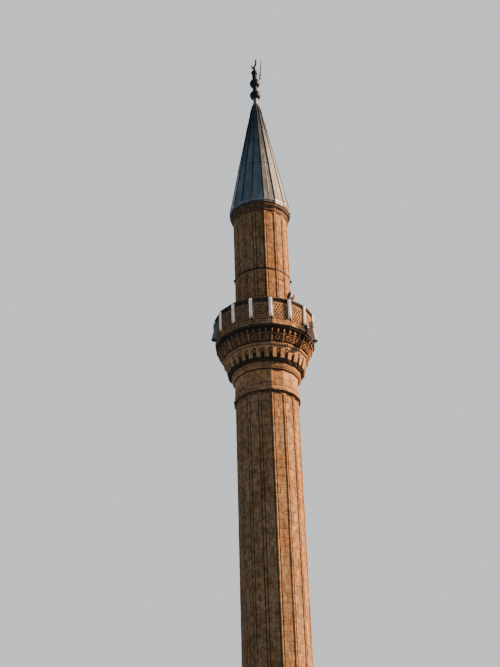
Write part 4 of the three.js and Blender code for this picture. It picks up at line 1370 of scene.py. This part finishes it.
class MINARET_OT_cone(bpy.types.Operator):
    """Lead cone: eave, three rows of sheets between rolled seams, and the cap"""

    bl_idname = "minaret.cone"
    bl_label = "Cone"

    ROLL = (0, 0.006, 0.012, 0.018, 0.023, 0.027, 0.034)
    FACES = (-0.66, -0.33, -0.04, 0, 0.04, 0.33, 0.66)
    FOOT_RADIUS, TIP_RADIUS, SWELLING = 1.066, 0.124, 0.012
    ROLL_HALF, WELT_SHARE, WELT_HEIGHT = 0.027, 0.045, 0.006
    NARROW, THICKNESS = 0.060, 0.055

    def execute(self, context):
        flat = self.ROLL[-1]
        stations = [(-1, d) for d in self.ROLL]
        stations += [(share, -share * flat) for share in self.FACES]
        stations += [(1, -d) for d in reversed(self.ROLL[1:])]
        plan = Plan(SIDES, 1.0, stations)
        for number, name in enumerate(("lower", "middle", "upper")):
            self.sheets(plan, name, number)
        self.eave()
        self.cap(plan)
        return {"FINISHED"}

    def radius_at(self, z):
        """Corner radius of the cone: a straight fall with a swelling of half a sine."""
        low, high = foot("cone_sheets_lower"), head("cone_cap")
        t = (z - low) / (high - low)
        fall = (self.TIP_RADIUS - self.FOOT_RADIUS) * t
        return self.FOOT_RADIUS + fall + self.SWELLING * np.sin(np.pi * clamp(t))

    def points(self, plan, rows, relief=0.0):
        """Points of the cone. The stations beside the seams close up where a side is narrow."""
        slip = np.minimum(1.0, rows.radius * np.sin(np.pi / SIDES) / self.NARROW)
        return plan.points(rows, relief, slip)

    def relief(self, plan, z, radius, seed):
        """Relief of the lead: a half ellipse over each corner, a low welt down each side's
        middle, and waves that die out at the seams."""
        metal = bpy.context.scene.minaret_metal
        pin = np.minimum(np.abs(plan.pin), 0.5)
        corner = np.abs(plan.share) == 1
        roll = np.sqrt(clamp(1 - (pin / self.ROLL_HALF) ** 2)) * corner
        welt = np.exp(-(plan.share / self.WELT_SHARE) ** 2) * (~corner)
        turn = np.arctan2(plan.base[:, 0], -plan.base[:, 1])
        wave = ripple(seed, z[:, None] * 4.5, turn * 9, plan.side * 3.7)
        face = (1 - np.abs(plan.share)) ** 0.7 * (~corner)
        size = np.clip(radius, 0.15, 1)[:, None]
        wave = wave * face * metal.dents * size
        return metal.seam_height * roll + self.WELT_HEIGHT * welt + wave

    @staticmethod
    def seam(plan):
        """1 on the rolls and 0 on the sheets between them; on the lead it paints the seams' dark
        shadow lines.
        """
        return ((np.abs(plan.share) == 1) & (np.abs(plan.pin) < 0.030)) * 1.0

    def sheets(self, plan, name, number):
        """One row of sheets; its lower edge laps 8 mm over the row below."""
        node = f"cone_sheets_{name}"
        low, high = span(node)
        z = np.concatenate([[low, low + 0.004, low + 0.03],
                            np.linspace(low + 0.09, high - 0.03, int((high - low) / 0.075)),
                            [high]])
        radius = self.radius_at(z)
        relief = self.relief(plan, z, radius, 60 + number)
        lap = np.interp(z, [low, low + 0.05, low + 0.4], [0.012, 0.010, 0.0])[:, None]
        scallop = 0.5 + 0.5 * ripple(70 + number, plan.along * 22)
        outer = self.points(plan, Rows(np.column_stack([radius, z])),
                            relief + lap * (0.75 + 0.25 * scallop))
        inner = self.points(plan, Rows([(self.radius_at(z) - self.THICKNESS, z)
                                        for z in (high, low)]))
        table = np.concatenate([outer, inner])
        tone = np.random.default_rng(80 + number).random(SIDES)[plan.side]
        # Darker towards the cone's top; the first row, each sheet's lapped lower edge, is painted
        # shade.
        edge = np.clip((table[:, :1, 2] - 33.0) / 2.3, 0, 0.85)
        edge[0] = 1
        # The joint value on the seams paints their shadow lines.
        Piece().ring(table, tone=tone, hollow=edge, joint=self.seam(plan)).make(
            f"lead_sheets_{name}", "lead", node, 38)

    def eave(self):
        """Eave: a drip roll and a skirt that hangs over the cornice's top, in lapped strips."""
        low, high = span("cone_eave")
        profile = path_of((1.058, 0), (1.060, -0.066), (1.066, -0.072), (1.078, -0.070),
                          (1.080, -0.050), (1.082, -0.004),
                          arc((1.088, 0.002), (1.092, 0.036), 0.4, 5), (1.080, 0.046),
                          (1.082, high - low)) + (0, low)
        plan = Plan(SIDES, 1.09, [(-1, 0), (-1, 0.004), (-0.4, 0), (0.0, 0), (0.0, 0.004),
                                  (0.4, 0)])
        rows = Rows(profile, UPPER_BORE)
        lap = ((plan.share == 0) & (plan.pin > 0)) | ((plan.share == -1) & (plan.pin > 0))
        offset = 0.003 * lap[None, :] * rows.face[:, None]
        # Painted shade on the skirt under the drip roll, darkest at its foot.
        skirt = np.interp(rows.height - low, [-0.068, -0.05, -0.004, 0], [1, 0.8, 0.8, 0])
        Piece().ring(plan.points(rows, offset), tone=0.3, hollow=skirt[:, None]).make(
            "lead_eave", "lead", "cone_eave", 30)

    def cap(self, plan):
        """Cap: the seams die into a smooth collar that ends in a shoulder."""
        low, high = span("cone_cap")
        z = np.concatenate([[low, low + 0.004], np.linspace(low + 0.04, high - 0.05, 6),
                            [high - 0.03, high - 0.012, high]])
        radius = self.radius_at(z)
        radius[-2:] = (0.112, 0.088)
        relief = self.relief(plan, z, radius, 66)
        fade = np.interp(z, [low, high - 0.15, high - 0.03], [1, 0.7, 0])[:, None]
        lap = np.interp(z, [low, low + 0.1, low + 0.3], [0.013, 0.008, 0.0])[:, None]
        table = self.points(plan, Rows(np.column_stack([radius, z])), relief * fade + lap)
        # The cap is darker all over, as the cone's top is; its seams get painted shadow lines too.
        Piece().solid(table, tone=0.3, hollow=0.92, joint=0.8 * self.seam(plan)).make(
            "lead_cap", "lead", "cone_cap", 38)


class MINARET_OT_finial(bpy.types.Operator):
    """Finial: neck, three balls and the crescent, with the lightning rod clipped on"""

    bl_idname = "minaret.finial"
    bl_label = "Finial"

    BALLS = (("lower", 0.202, 36.620, 0.080), ("middle", 0.190, 37.190, 0.078),
             ("upper", 0.120, 37.722, 0.040))

    def execute(self, context):
        self.neck()
        for ball in self.BALLS:
            self.ball(*ball)
        self.crescent()
        self.rod()
        return {"FINISHED"}

    def neck(self):
        low, high = span("finial_neck")
        profile = path_of((0.104, low), (0.108, low + 0.006), (0.106, low + 0.022),
                          arc((0.098, low + 0.026), (0.082, low + 0.090), -0.12, 5),
                          (0.080, low + 0.190), (0.082, high - 0.052), (0.090, high - 0.046),
                          (0.092, high - 0.032), (0.086, high - 0.026), (0.088, high))
        Piece().solid(lathe(profile, 32), tone=0.4, hollow=0.5).make(
            "finial_neck_tube", "lead", "finial_neck", slot="finial_metal")

    def ball(self, name, radius, middle, neck):
        """A beaten ball: a circle with a belt, running up into a neck with a ring."""
        node = f"finial_ball_{name}"
        low, high = span(node)
        angle = np.linspace(np.arcsin((low - middle) / radius), np.arccos(neck * 1.05 / radius),
                            22)
        globe = np.stack([radius * np.cos(angle), middle + radius * np.sin(angle)], axis=-1)
        globe[:, 0] += 0.004 * np.exp(-((globe[:, 1] - middle) / 0.006) ** 2)
        top = globe[-1, 1]
        shares = np.array([[0.94, 0.18], [0.92, 0.42], [1.08, 0.47], [1.14, 0.55], [1.06, 0.63],
                           [0.93, 0.68], [0.96, 1.0]])
        profile = path_of(globe, shares * (neck, high - top) + (0, top))
        turn = circle(48)
        beaten = 0.0016 * ripple(90, profile[:, 1:] * 34, np.sin(turn)[None, :] * 5,
                                 np.cos(turn)[None, :] * 5)
        beaten *= clamp(profile[:, :1] / radius)
        belt = np.abs(profile[:, 1:] - middle)
        Piece().solid(lathe(profile, 48, beaten), tone=0.3,
                      hollow=clamp(1 - np.abs(belt - 0.010) / 0.006) * 0.8).make(
            f"finial_{name}_globe", "bronze", node)

    def crescent(self):
        """Crescent between two circles through the same tips, with an elliptic section. Place
        along it is the angle on each circle. It leans over in its own plane."""
        seat = foot("finial_crescent") + 0.004
        outer, lift, opening, lean = 0.185, 0.045, np.pi * 0.20, np.radians(20)
        tip = np.array([outer * np.sin(opening), outer * np.cos(opening) - lift])
        share = np.linspace(0, 1, 41)
        outer_angle = np.pi / 2 - opening - share * (FULL - 2 * opening) + lean
        tip_angle = np.arctan2(tip[1], tip[0])
        inner_angle = tip_angle - share * (np.pi + 2 * tip_angle) + lean
        ring = np.array([0, outer])
        rim = ring + outer * polar(1, outer_angle + np.pi / 2)
        hollow_side = (ring + lift * polar(1, lean + np.pi) + np.hypot(*tip)
                       * polar(1, inner_angle + np.pi / 2))
        centre, half = (rim + hollow_side) / 2, (rim - hollow_side) / 2 + 1e-4
        grow = np.clip(np.linalg.norm(half, axis=1) / 0.012, 0.1, 1)
        angle = circle(12)
        flat = centre[:, None] + half[:, None] * np.cos(angle)[None, :, None]
        depth = 0.034 * grow[:, None] * np.sin(angle)[None, :]
        table = np.stack([flat[..., 0], -depth, flat[..., 1] + seat], axis=-1)
        stem = lathe(path_of((0.028, seat - 0.004), (0.031, seat + 0.002),
                             (0.024, seat + 0.010), (0.022, seat + 0.020)), 16)
        piece = Piece().solid(turned_about_axis(table, -np.pi / 3)[::-1])
        piece.solid(stem)
        piece.make("finial_moon", "bronze", "finial_crescent", 40)

    def rod(self):
        """Pointed rod in a sleeve, slid outwards with height, and held by two arms with bands
        round the middle ball's neck."""
        out, clips, lean = 0.212, (37.425, 37.565), np.tan(np.radians(4.5))
        sleeve_top, half = 37.748, 0.014
        low, high = span("lightning_rod")
        profile = np.array([(0.018, low + 0.001), (0.025, low + 0.006), (0.025, sleeve_top),
                            (0.022, sleeve_top + 0.009), (0.017, sleeve_top + 0.014),
                            (0.017, high - 0.14),
                            (0.0015, high - 0.001)])
        table = lathe(profile, 12)
        table[..., 0] += out + (table[..., 2] - sum(clips) / 2) * lean
        piece = Piece().solid(table)
        neck = self.BALLS[1][3]
        for height in clips:
            path = np.array([[neck, 0, height], [neck + 0.03, 0, height], [out, 0, height]])
            piece.bar(path, soft_box(0.022, 0.012, 0.002))
            for size, start, middle in ((24, neck - 0.006, 0), (12, 0.010, out)):
                band = lathe([(start, height - half), (start + 0.014, height - half),
                              (start + 0.014, height + half), (start, height + half)], size)
                band[..., 0] += middle
                piece.ring(band)
        piece.make("lightning_rod_iron", "iron", "lightning_rod")


# ---------------------------------------------------------------- loudspeakers


class MINARET_OT_loudspeakers(bpy.types.Operator):
    """Two long horns hung outside the balustrade and a short one on the rail"""

    bl_idname = "minaret.loudspeakers"
    bl_label = "Loudspeakers"

    OUT = 1.835

    def execute(self, context):
        for name, angle, length, mouth, paint, grime_and_shade in (
                ("left", -60.0, 0.650, 25.510, "paint", 0.45),
                ("right", RIGHT_HORN, 0.780, 25.270, "cream", 0.75)):
            arm = mouth + 0.86 * length
            piece = Piece()
            lean = np.radians(6.0)
            turn = np.array([[1, 0, 0], [0, np.cos(lean), np.sin(lean)],
                             [0, -np.sin(lean), np.cos(lean)]])
            self.horn(piece, 0.110, length, 0.86 * length, turn, (0, -self.OUT, arm), grime_and_shade)
            self.bracket(piece, arm, np.radians(angle))
            piece.copies([np.radians(angle)]).make(f"horn_{name}", paint, f"speaker_{name}")
        self.on_rail()
        return {"FINISHED"}

    @staticmethod
    def horn(piece, radius, length, held, turn, place, grime_and_shade):
        """A horn from the tube inside its bell, round the rim and up to the driver's back, in
        shares of its radius and length. It is held at one height of its axis, turned there and
        put in its place."""
        rim = 0.006 / radius
        profile = path_of((0.03, 0.30), (0.20, 0.28), (0.34, 0.20), (0.36, 0.21), (0.27, 0.34),
                          (0.27, 0.44), (0.45, 0.46), (0.52, 0.38), (0.62, 0.29), (0.74, 0.20),
                          (0.86, 0.08), (1 - rim, 0.004), (1, -0.004), (1 + rim, 0.006),
                          (1 + rim * 0.6, 0.016), (0.965, 0.04), (0.87, 0.15), (0.79, 0.26),
                          (0.70, 0.38), (0.62, 0.49), (0.54, 0.60), (0.50, 0.655), (0.66, 0.67),
                          (0.76, 0.695), (0.78, 0.72), (0.78, 0.80), (0.74, 0.805),
                          (0.74, 0.815), (0.78, 0.82), (0.78, 0.95), (0.72, 0.98), (0.60, 0.995),
                          (0.20, 1.0))
        table = lathe(profile * (radius, length), 36) - np.array([0, 0, held])
        # Painted shade inside the bell and in the groove at the driver's joint; the driver end is
        # darker by the given amount.
        inside = (np.arange(len(profile)) < 11) * 0.9
        seam = np.abs(profile[:, 1] - 0.81) < 0.008
        top = clamp((profile[:, 1] - 0.62) / 0.08) * grime_and_shade
        piece.solid(table @ turn.T + np.array(place), tone=0.5,
                    hollow=highest(inside, seam * 0.8, top)[:, None])

    def bracket(self, piece, height, angle):
        """A stirrup over the driver and an arm with a foot plate to the wall, which is as far
        off as the flat side in that direction."""
        slant = angle - np.round(angle / TURN) * TURN
        wall = PANEL_RADIUS * APOTHEM / np.cos(slant) + 0.02
        out = self.OUT
        turn = np.linspace(-np.pi / 2, np.pi / 2, 13)
        path = np.stack([0.092 * np.sin(turn), np.full(13, -out),
                         height - 0.045 + 0.080 * np.cos(turn)], axis=-1)
        path = np.vstack([[-0.092, -out, height - 0.10], path, [0.092, -out, height - 0.10]])
        piece.bar(path, soft_box(0.030, 0.005, 0.001), (0, 1, 0))
        arm = np.array([[0, -out, height + 0.035], [0, -out + 0.06, height + 0.030],
                        [0, -wall, height]])
        piece.bar(arm, soft_box(0.028, 0.028, 0.004), (1, 0, 0))
        plate = np.array([[0, -wall, height], [0, -wall + 0.016, height]])
        piece.bar(plate, soft_box(0.10, 0.12, 0.01), (1, 0, 0))
        for side in (-1, 1):
            bolt = np.array([[side * reach, -out, height - 0.08] for reach in (0.084, 0.104)])
            piece.bar(bolt, round_section(0.012, 6))

    def on_rail(self):
        """The short horn looks along the rail and a little up, on a stand on the rail."""
        top, radius, length = head("balcony_rail"), 0.135, 0.200
        middle, seat = 1.637, head("balcony_rail") + 0.155
        pitch, yaw = np.radians(96), np.radians(-3)
        over = np.array([[np.cos(pitch), 0, np.sin(pitch)], [0, 1, 0],
                         [-np.sin(pitch), 0, np.cos(pitch)]])
        aside = np.array([[np.cos(yaw), -np.sin(yaw), 0], [np.sin(yaw), np.cos(yaw), 0],
                          [0, 0, 1]])
        piece = Piece()
        self.horn(piece, radius, length, 0.8 * length, aside @ over, (0, -middle, seat), 0)
        stand = np.array([[0, -middle, top + 0.0003], [0, -middle, top + 0.012],
                          [0, -middle, top + 0.013], [0, -middle, seat - 0.08]])
        wide, thin = soft_box(0.09, 0.07, 0.006), soft_box(0.026, 0.026, 0.003)
        piece.bar(stand, np.stack([wide, wide, thin, thin]), (1, 0, 0))
        piece.copies([np.radians(39.5)]).make("horn_on_rail", "cream", "speaker_on_rail")


# ---------------------------------------------------------------- base


class MINARET_OT_base(bpy.types.Operator):
    """Square base: plinth, coursed walls with the doorway at the back, and cornice"""

    bl_idname = "minaret.base"
    bl_label = "Base"

    SHARES = (-0.84, -0.56, -0.42, 0.0, 0.42, 0.56, 0.84)
    FRAME_EDGE, FRAME_DEPTH = 0.012, 0.022
    ENDS = ((-1, 0), (-1, 0.012), (1, -0.012))

    def execute(self, context):
        stone = context.scene.minaret_stone
        low, high = span("base_wall_front")
        lintel = foot("base_wall_over_door")
        edge = stone.joint_half
        outer = -DOOR_HALF - ARCHITRAVE
        frame_pins = (outer, outer + self.FRAME_EDGE, -DOOR_HALF)
        ends = [*self.ENDS, *((0, side * pin) for pin in frame_pins for side in (1, -1))]
        plan = Plan(4, BASE_HALF * np.sqrt(2), stations_of(ends, self.SHARES, edge, BASE_HALF))
        joints = np.concatenate([np.linspace(low, lintel, 7), np.linspace(lintel, high, 10)[1:]])
        extra = (lintel + ARCHITRAVE, lintel + ARCHITRAVE - self.FRAME_EDGE)

        def walled(bottom, top):
            profile = wall_profile((plan.radius, bottom), (plan.radius, top), joints, edge, extra)
            rows = Rows(profile, BASE_INNER * np.sqrt(2), joints)
            cut = Stones(plan, rows, self.SHARES, 2, stone.seed + 5, stone.joint_depth, 0.002)
            points = plan.points(rows, cut.relief + self.architrave(plan, rows, lintel))
            return rows, points, cut, 0 * cut.joint

        doorway = plan.column(2, 0, -DOOR_HALF), plan.column(2, 0, DOOR_HALF)
        walls_with_door("base", plan, plan.quarters(0, -1), walled, doorway, BASE_INNER)
        self.plinth()
        self.cornice()
        return {"FINISHED"}

    def architrave(self, plan, rows, lintel):
        """A flat band that stands out round the doorway, on the back side only."""
        wide = ARCHITRAVE - self.FRAME_EDGE / 2
        within = (np.abs(plan.along) < DOOR_HALF + wide) & (plan.side == 2)
        upto = rows.height < lintel + wide
        return self.FRAME_DEPTH * (within & upto[:, None]) * rows.face[:, None]

    def plinth(self):
        """Plinth of two courses of large stones under a splayed edge, with a paved top."""
        high, joint, reach, edge = tall("base_plinth"), 0.16, BASE_HALF + 0.07, 0.007
        outer = [(reach, 0), (reach, joint - edge), (reach, joint), (reach, joint + edge),
                 (reach, high - 0.062), (reach - 0.006, high - 0.055),
                 (BASE_HALF + 0.006, high - 0.004), (BASE_HALF - 0.004, high), (0.95, high),
                 (0.02, high)]
        moulding("plinth_stones", "base_plinth", np.array(outer) * (np.sqrt(2), 1), None, 17, 4,
                 (-0.72, -0.36, 0.0, 0.36, 0.72), self.ENDS,
                 (0, joint, high - 0.02), 2, 1.3, 0.002, crease=24)

    def cornice(self):
        """Cornice: fillet, cove and fascia with a weathered top."""
        high, r = tall("base_cornice"), BASE_HALF
        outer = path_of((r + 0.016, 0), (r + 0.016, 0.045), (r + 0.006, 0.050),
                        arc((r + 0.008, 0.055), (r + 0.066, 0.140), -0.2, 7),
                        (r + 0.076, 0.146), (r + 0.076, high - 0.045),
                        arc((r + 0.074, high - 0.040), (r + 0.03, high), 0.15, 5))
        moulding("base_cornice_stone", "base_cornice", outer * (np.sqrt(2), 1),
                 BASE_INNER * np.sqrt(2), 19, 4, (-0.7, -0.35, 0.0, 0.35, 0.7),
                 self.ENDS, step=2, depth=1.0, lean=0.001)


class MINARET_OT_transition(bpy.types.Operator):
    """Folded courses that lead from the square base to the sixteen-sided shaft"""

    bl_idname = "minaret.transition"
    bl_label = "Transition"

    def execute(self, context):
        stone = context.scene.minaret_stone
        low, high = span("transition_front")
        shares = (-1, -0.96, -0.5, -0.04, 0, 0.04, 0.5, 0.96)
        plan = Plan(SIDES, FOLD_RADIUS, [(share, 0) for share in shares])
        joints = np.linspace(low, high, 8)
        profile = wall_profile((1, low), (1, high), joints, stone.joint_half)
        rows = Rows(profile, SHAFT_BORE, joints)
        cut = Stones(plan, rows, (-1, 0), 2, stone.seed + 9, stone.joint_depth, 0.002)
        t = np.clip((rows.height - low) / (high - low), 0.004, 1)
        flat = self.folded(plan, t)
        flat[rows.face == 0] = SHAFT_BORE * plan.base
        points = lifted(flat + cut.relief[..., None] * plan.out, rows.height[:, None])
        built = rows, points, cut, 0 * cut.joint
        for name, columns in zip(QUARTERS, plan.quarters(-2, 0)):
            wall_piece(f"folded_courses_{name}", f"transition_{name}", built, columns, crease=20)
        return {"FINISHED"}

    @staticmethod
    def folded(plan, t):
        """Plan at each height t: a corner slides straight from the square's corner (0) to the
        ring's own (1), and a point keeps its share between its side's two corners."""

        def corner(number):
            quarter = np.floor(number / 4) * np.pi / 2 + np.pi / 4
            square = polar((BASE_HALF - 0.010) * np.sqrt(2), quarter)
            ring = polar(FOLD_RADIUS, (number + 0.5) * TURN)
            return square * (1 - t)[:, None, None] + ring * t[:, None, None]

        share = (plan.share[None, :, None] + 1) / 2
        return corner(plan.side - 1) * (1 - share) + corner(plan.side) * share


# ---------------------------------------------------------------- stage


class MINARET_OT_stage(bpy.types.Operator):
    """Plain pale floor, soft lights and the camera at the photograph's place"""

    bl_idname = "minaret.stage"
    bl_label = "Stage"

    def execute(self, context):
        self.ground(context)
        self.lights(context)
        self.camera(context)
        return {"FINISHED"}

    def ground(self, context):
        """A round plain floor of rings. It throws back less light than the camera sees, and a
        cooler one."""
        rings = np.array([0.01, 4, 12, 40, 160, 600])
        angle = circle(96)
        flat = polar(rings[::-1, None], angle)
        table = Piece().grid(lifted(flat, -0.002), around=True)
        table.loops = [np.arange(len(angle)) + (len(rings) - 1) * len(angle)]
        material, nodes, shader = principled("Floor")
        floor = table.mesh("floor", material)
        seen = nodes.add("LightPath").outputs["Is Camera Ray"]
        colour = nodes.blend(seen, (0.155, 0.235, 0.40), (0.62, 0.62, 0.62))
        nodes.fill(shader, {"Base Color": colour, "Roughness": 0.9})

    def lights(self, context):
        """A key from the right, a weak light from behind and an even fill; the pale backdrop is
        only seen."""
        stage = context.scene.minaret_stage
        lamps = (("key", stage.sun_side, stage.sun_height, stage.sun_strength, stage.sun_soft,
                  (1.0, 0.75, 0.51)),
                 ("back_light", stage.back_side, np.radians(35), stage.back_strength,
                  np.radians(20), (0.80, 0.90, 1.0)))
        for name, side, height, strength, soft, colour in lamps:
            towards = Vector((*polar(np.cos(height), stage.place + side), np.sin(height)))
            lamp = bpy.data.lights.new(name, "SUN")
            lamp.energy, lamp.angle, lamp.color = strength, soft, colour
            key = bpy.data.objects.new(name, lamp)
            key.matrix_world = (Matrix.Translation(towards * 60)
                                @ towards.to_track_quat("Z", "Y").to_matrix().to_4x4())
            context.scene.collection.objects.link(key)
        world = bpy.data.worlds.new("studio")
        world.use_nodes = True
        world.node_tree.nodes.clear()
        nodes = Nodes(world.node_tree)
        seen = nodes.add("LightPath").outputs["Is Camera Ray"]
        colour = nodes.blend(seen, stage.fill_colour, (0.80, 0.82, 0.84))
        strength = nodes.math("MULTIPLY_ADD", seen, 1.0 - stage.fill, stage.fill)
        backdrop = nodes.add("Background", {"Color": colour, "Strength": strength})
        out = nodes.add("OutputWorld")
        world.node_tree.links.new(backdrop.outputs[0], out.inputs[0])
        context.scene.world = world

    def camera(self, context):
        """Camera on a circle round the tower, looking up past the axis with a small roll."""
        stage = context.scene.minaret_stage
        lens = bpy.data.cameras.new("view")
        lens.lens, lens.sensor_width, lens.clip_end = stage.lens, 36.0, 2000.0
        view = bpy.data.objects.new("view", lens)
        spot = Vector((*polar(stage.distance, stage.place), stage.eye_height))
        view.matrix_world = (Matrix.Translation(spot)
                             @ Matrix.Rotation(stage.place - stage.swing, 4, "Z")
                             @ Matrix.Rotation(np.pi / 2 + stage.pitch, 4, "X")
                             @ Matrix.Rotation(-stage.roll, 4, "Z"))
        context.scene.collection.objects.link(view)
        context.scene.camera = view


# ---------------------------------------------------------------- panel

PIECES = (MINARET_OT_base, MINARET_OT_transition, MINARET_OT_shaft, MINARET_OT_collar,
          MINARET_OT_carvings, MINARET_OT_balcony, MINARET_OT_upper_shaft, MINARET_OT_cone,
          MINARET_OT_finial, MINARET_OT_loudspeakers, MINARET_OT_stage)


class MINARET_PT_dresser(bpy.types.Panel):
    """Buttons for the minaret's pieces, over the sizes and colours they use"""

    bl_idname = "MINARET_PT_dresser"
    bl_label = "Minaret"
    bl_space_type = "VIEW_3D"
    bl_region_type = "UI"
    bl_category = "Minaret"

    def draw(self, context):
        for operator in PIECES:
            self.layout.operator(operator.bl_idname)
        for name in ("minaret_stone", "minaret_metal", "minaret_stage"):
            group = getattr(context.scene, name)
            box = self.layout.box()
            for prop in group.bl_rna.properties:
                if prop.identifier not in ("rna_type", "name"):
                    box.prop(group, prop.identifier)


SETTINGS = {"minaret_stone": StoneSettings, "minaret_metal": MetalSettings,
            "minaret_stage": StageSettings}


CLASSES = (*SETTINGS.values(), *PIECES, MINARET_PT_dresser)


def register():
    for kind in CLASSES:
        bpy.utils.register_class(kind)
    for name, group in SETTINGS.items():
        setattr(bpy.types.Scene, name, PointerProperty(type=group))


def unregister():
    for name in SETTINGS:
        delattr(bpy.types.Scene, name)
    for kind in reversed(CLASSES):
        bpy.utils.unregister_class(kind)


def main():
    """Builds every piece in order."""
    register()
    for operator in PIECES:
        group, name = operator.bl_idname.split(".")
        getattr(getattr(bpy.ops, group), name)()


if __name__ == "__main__":
    main()
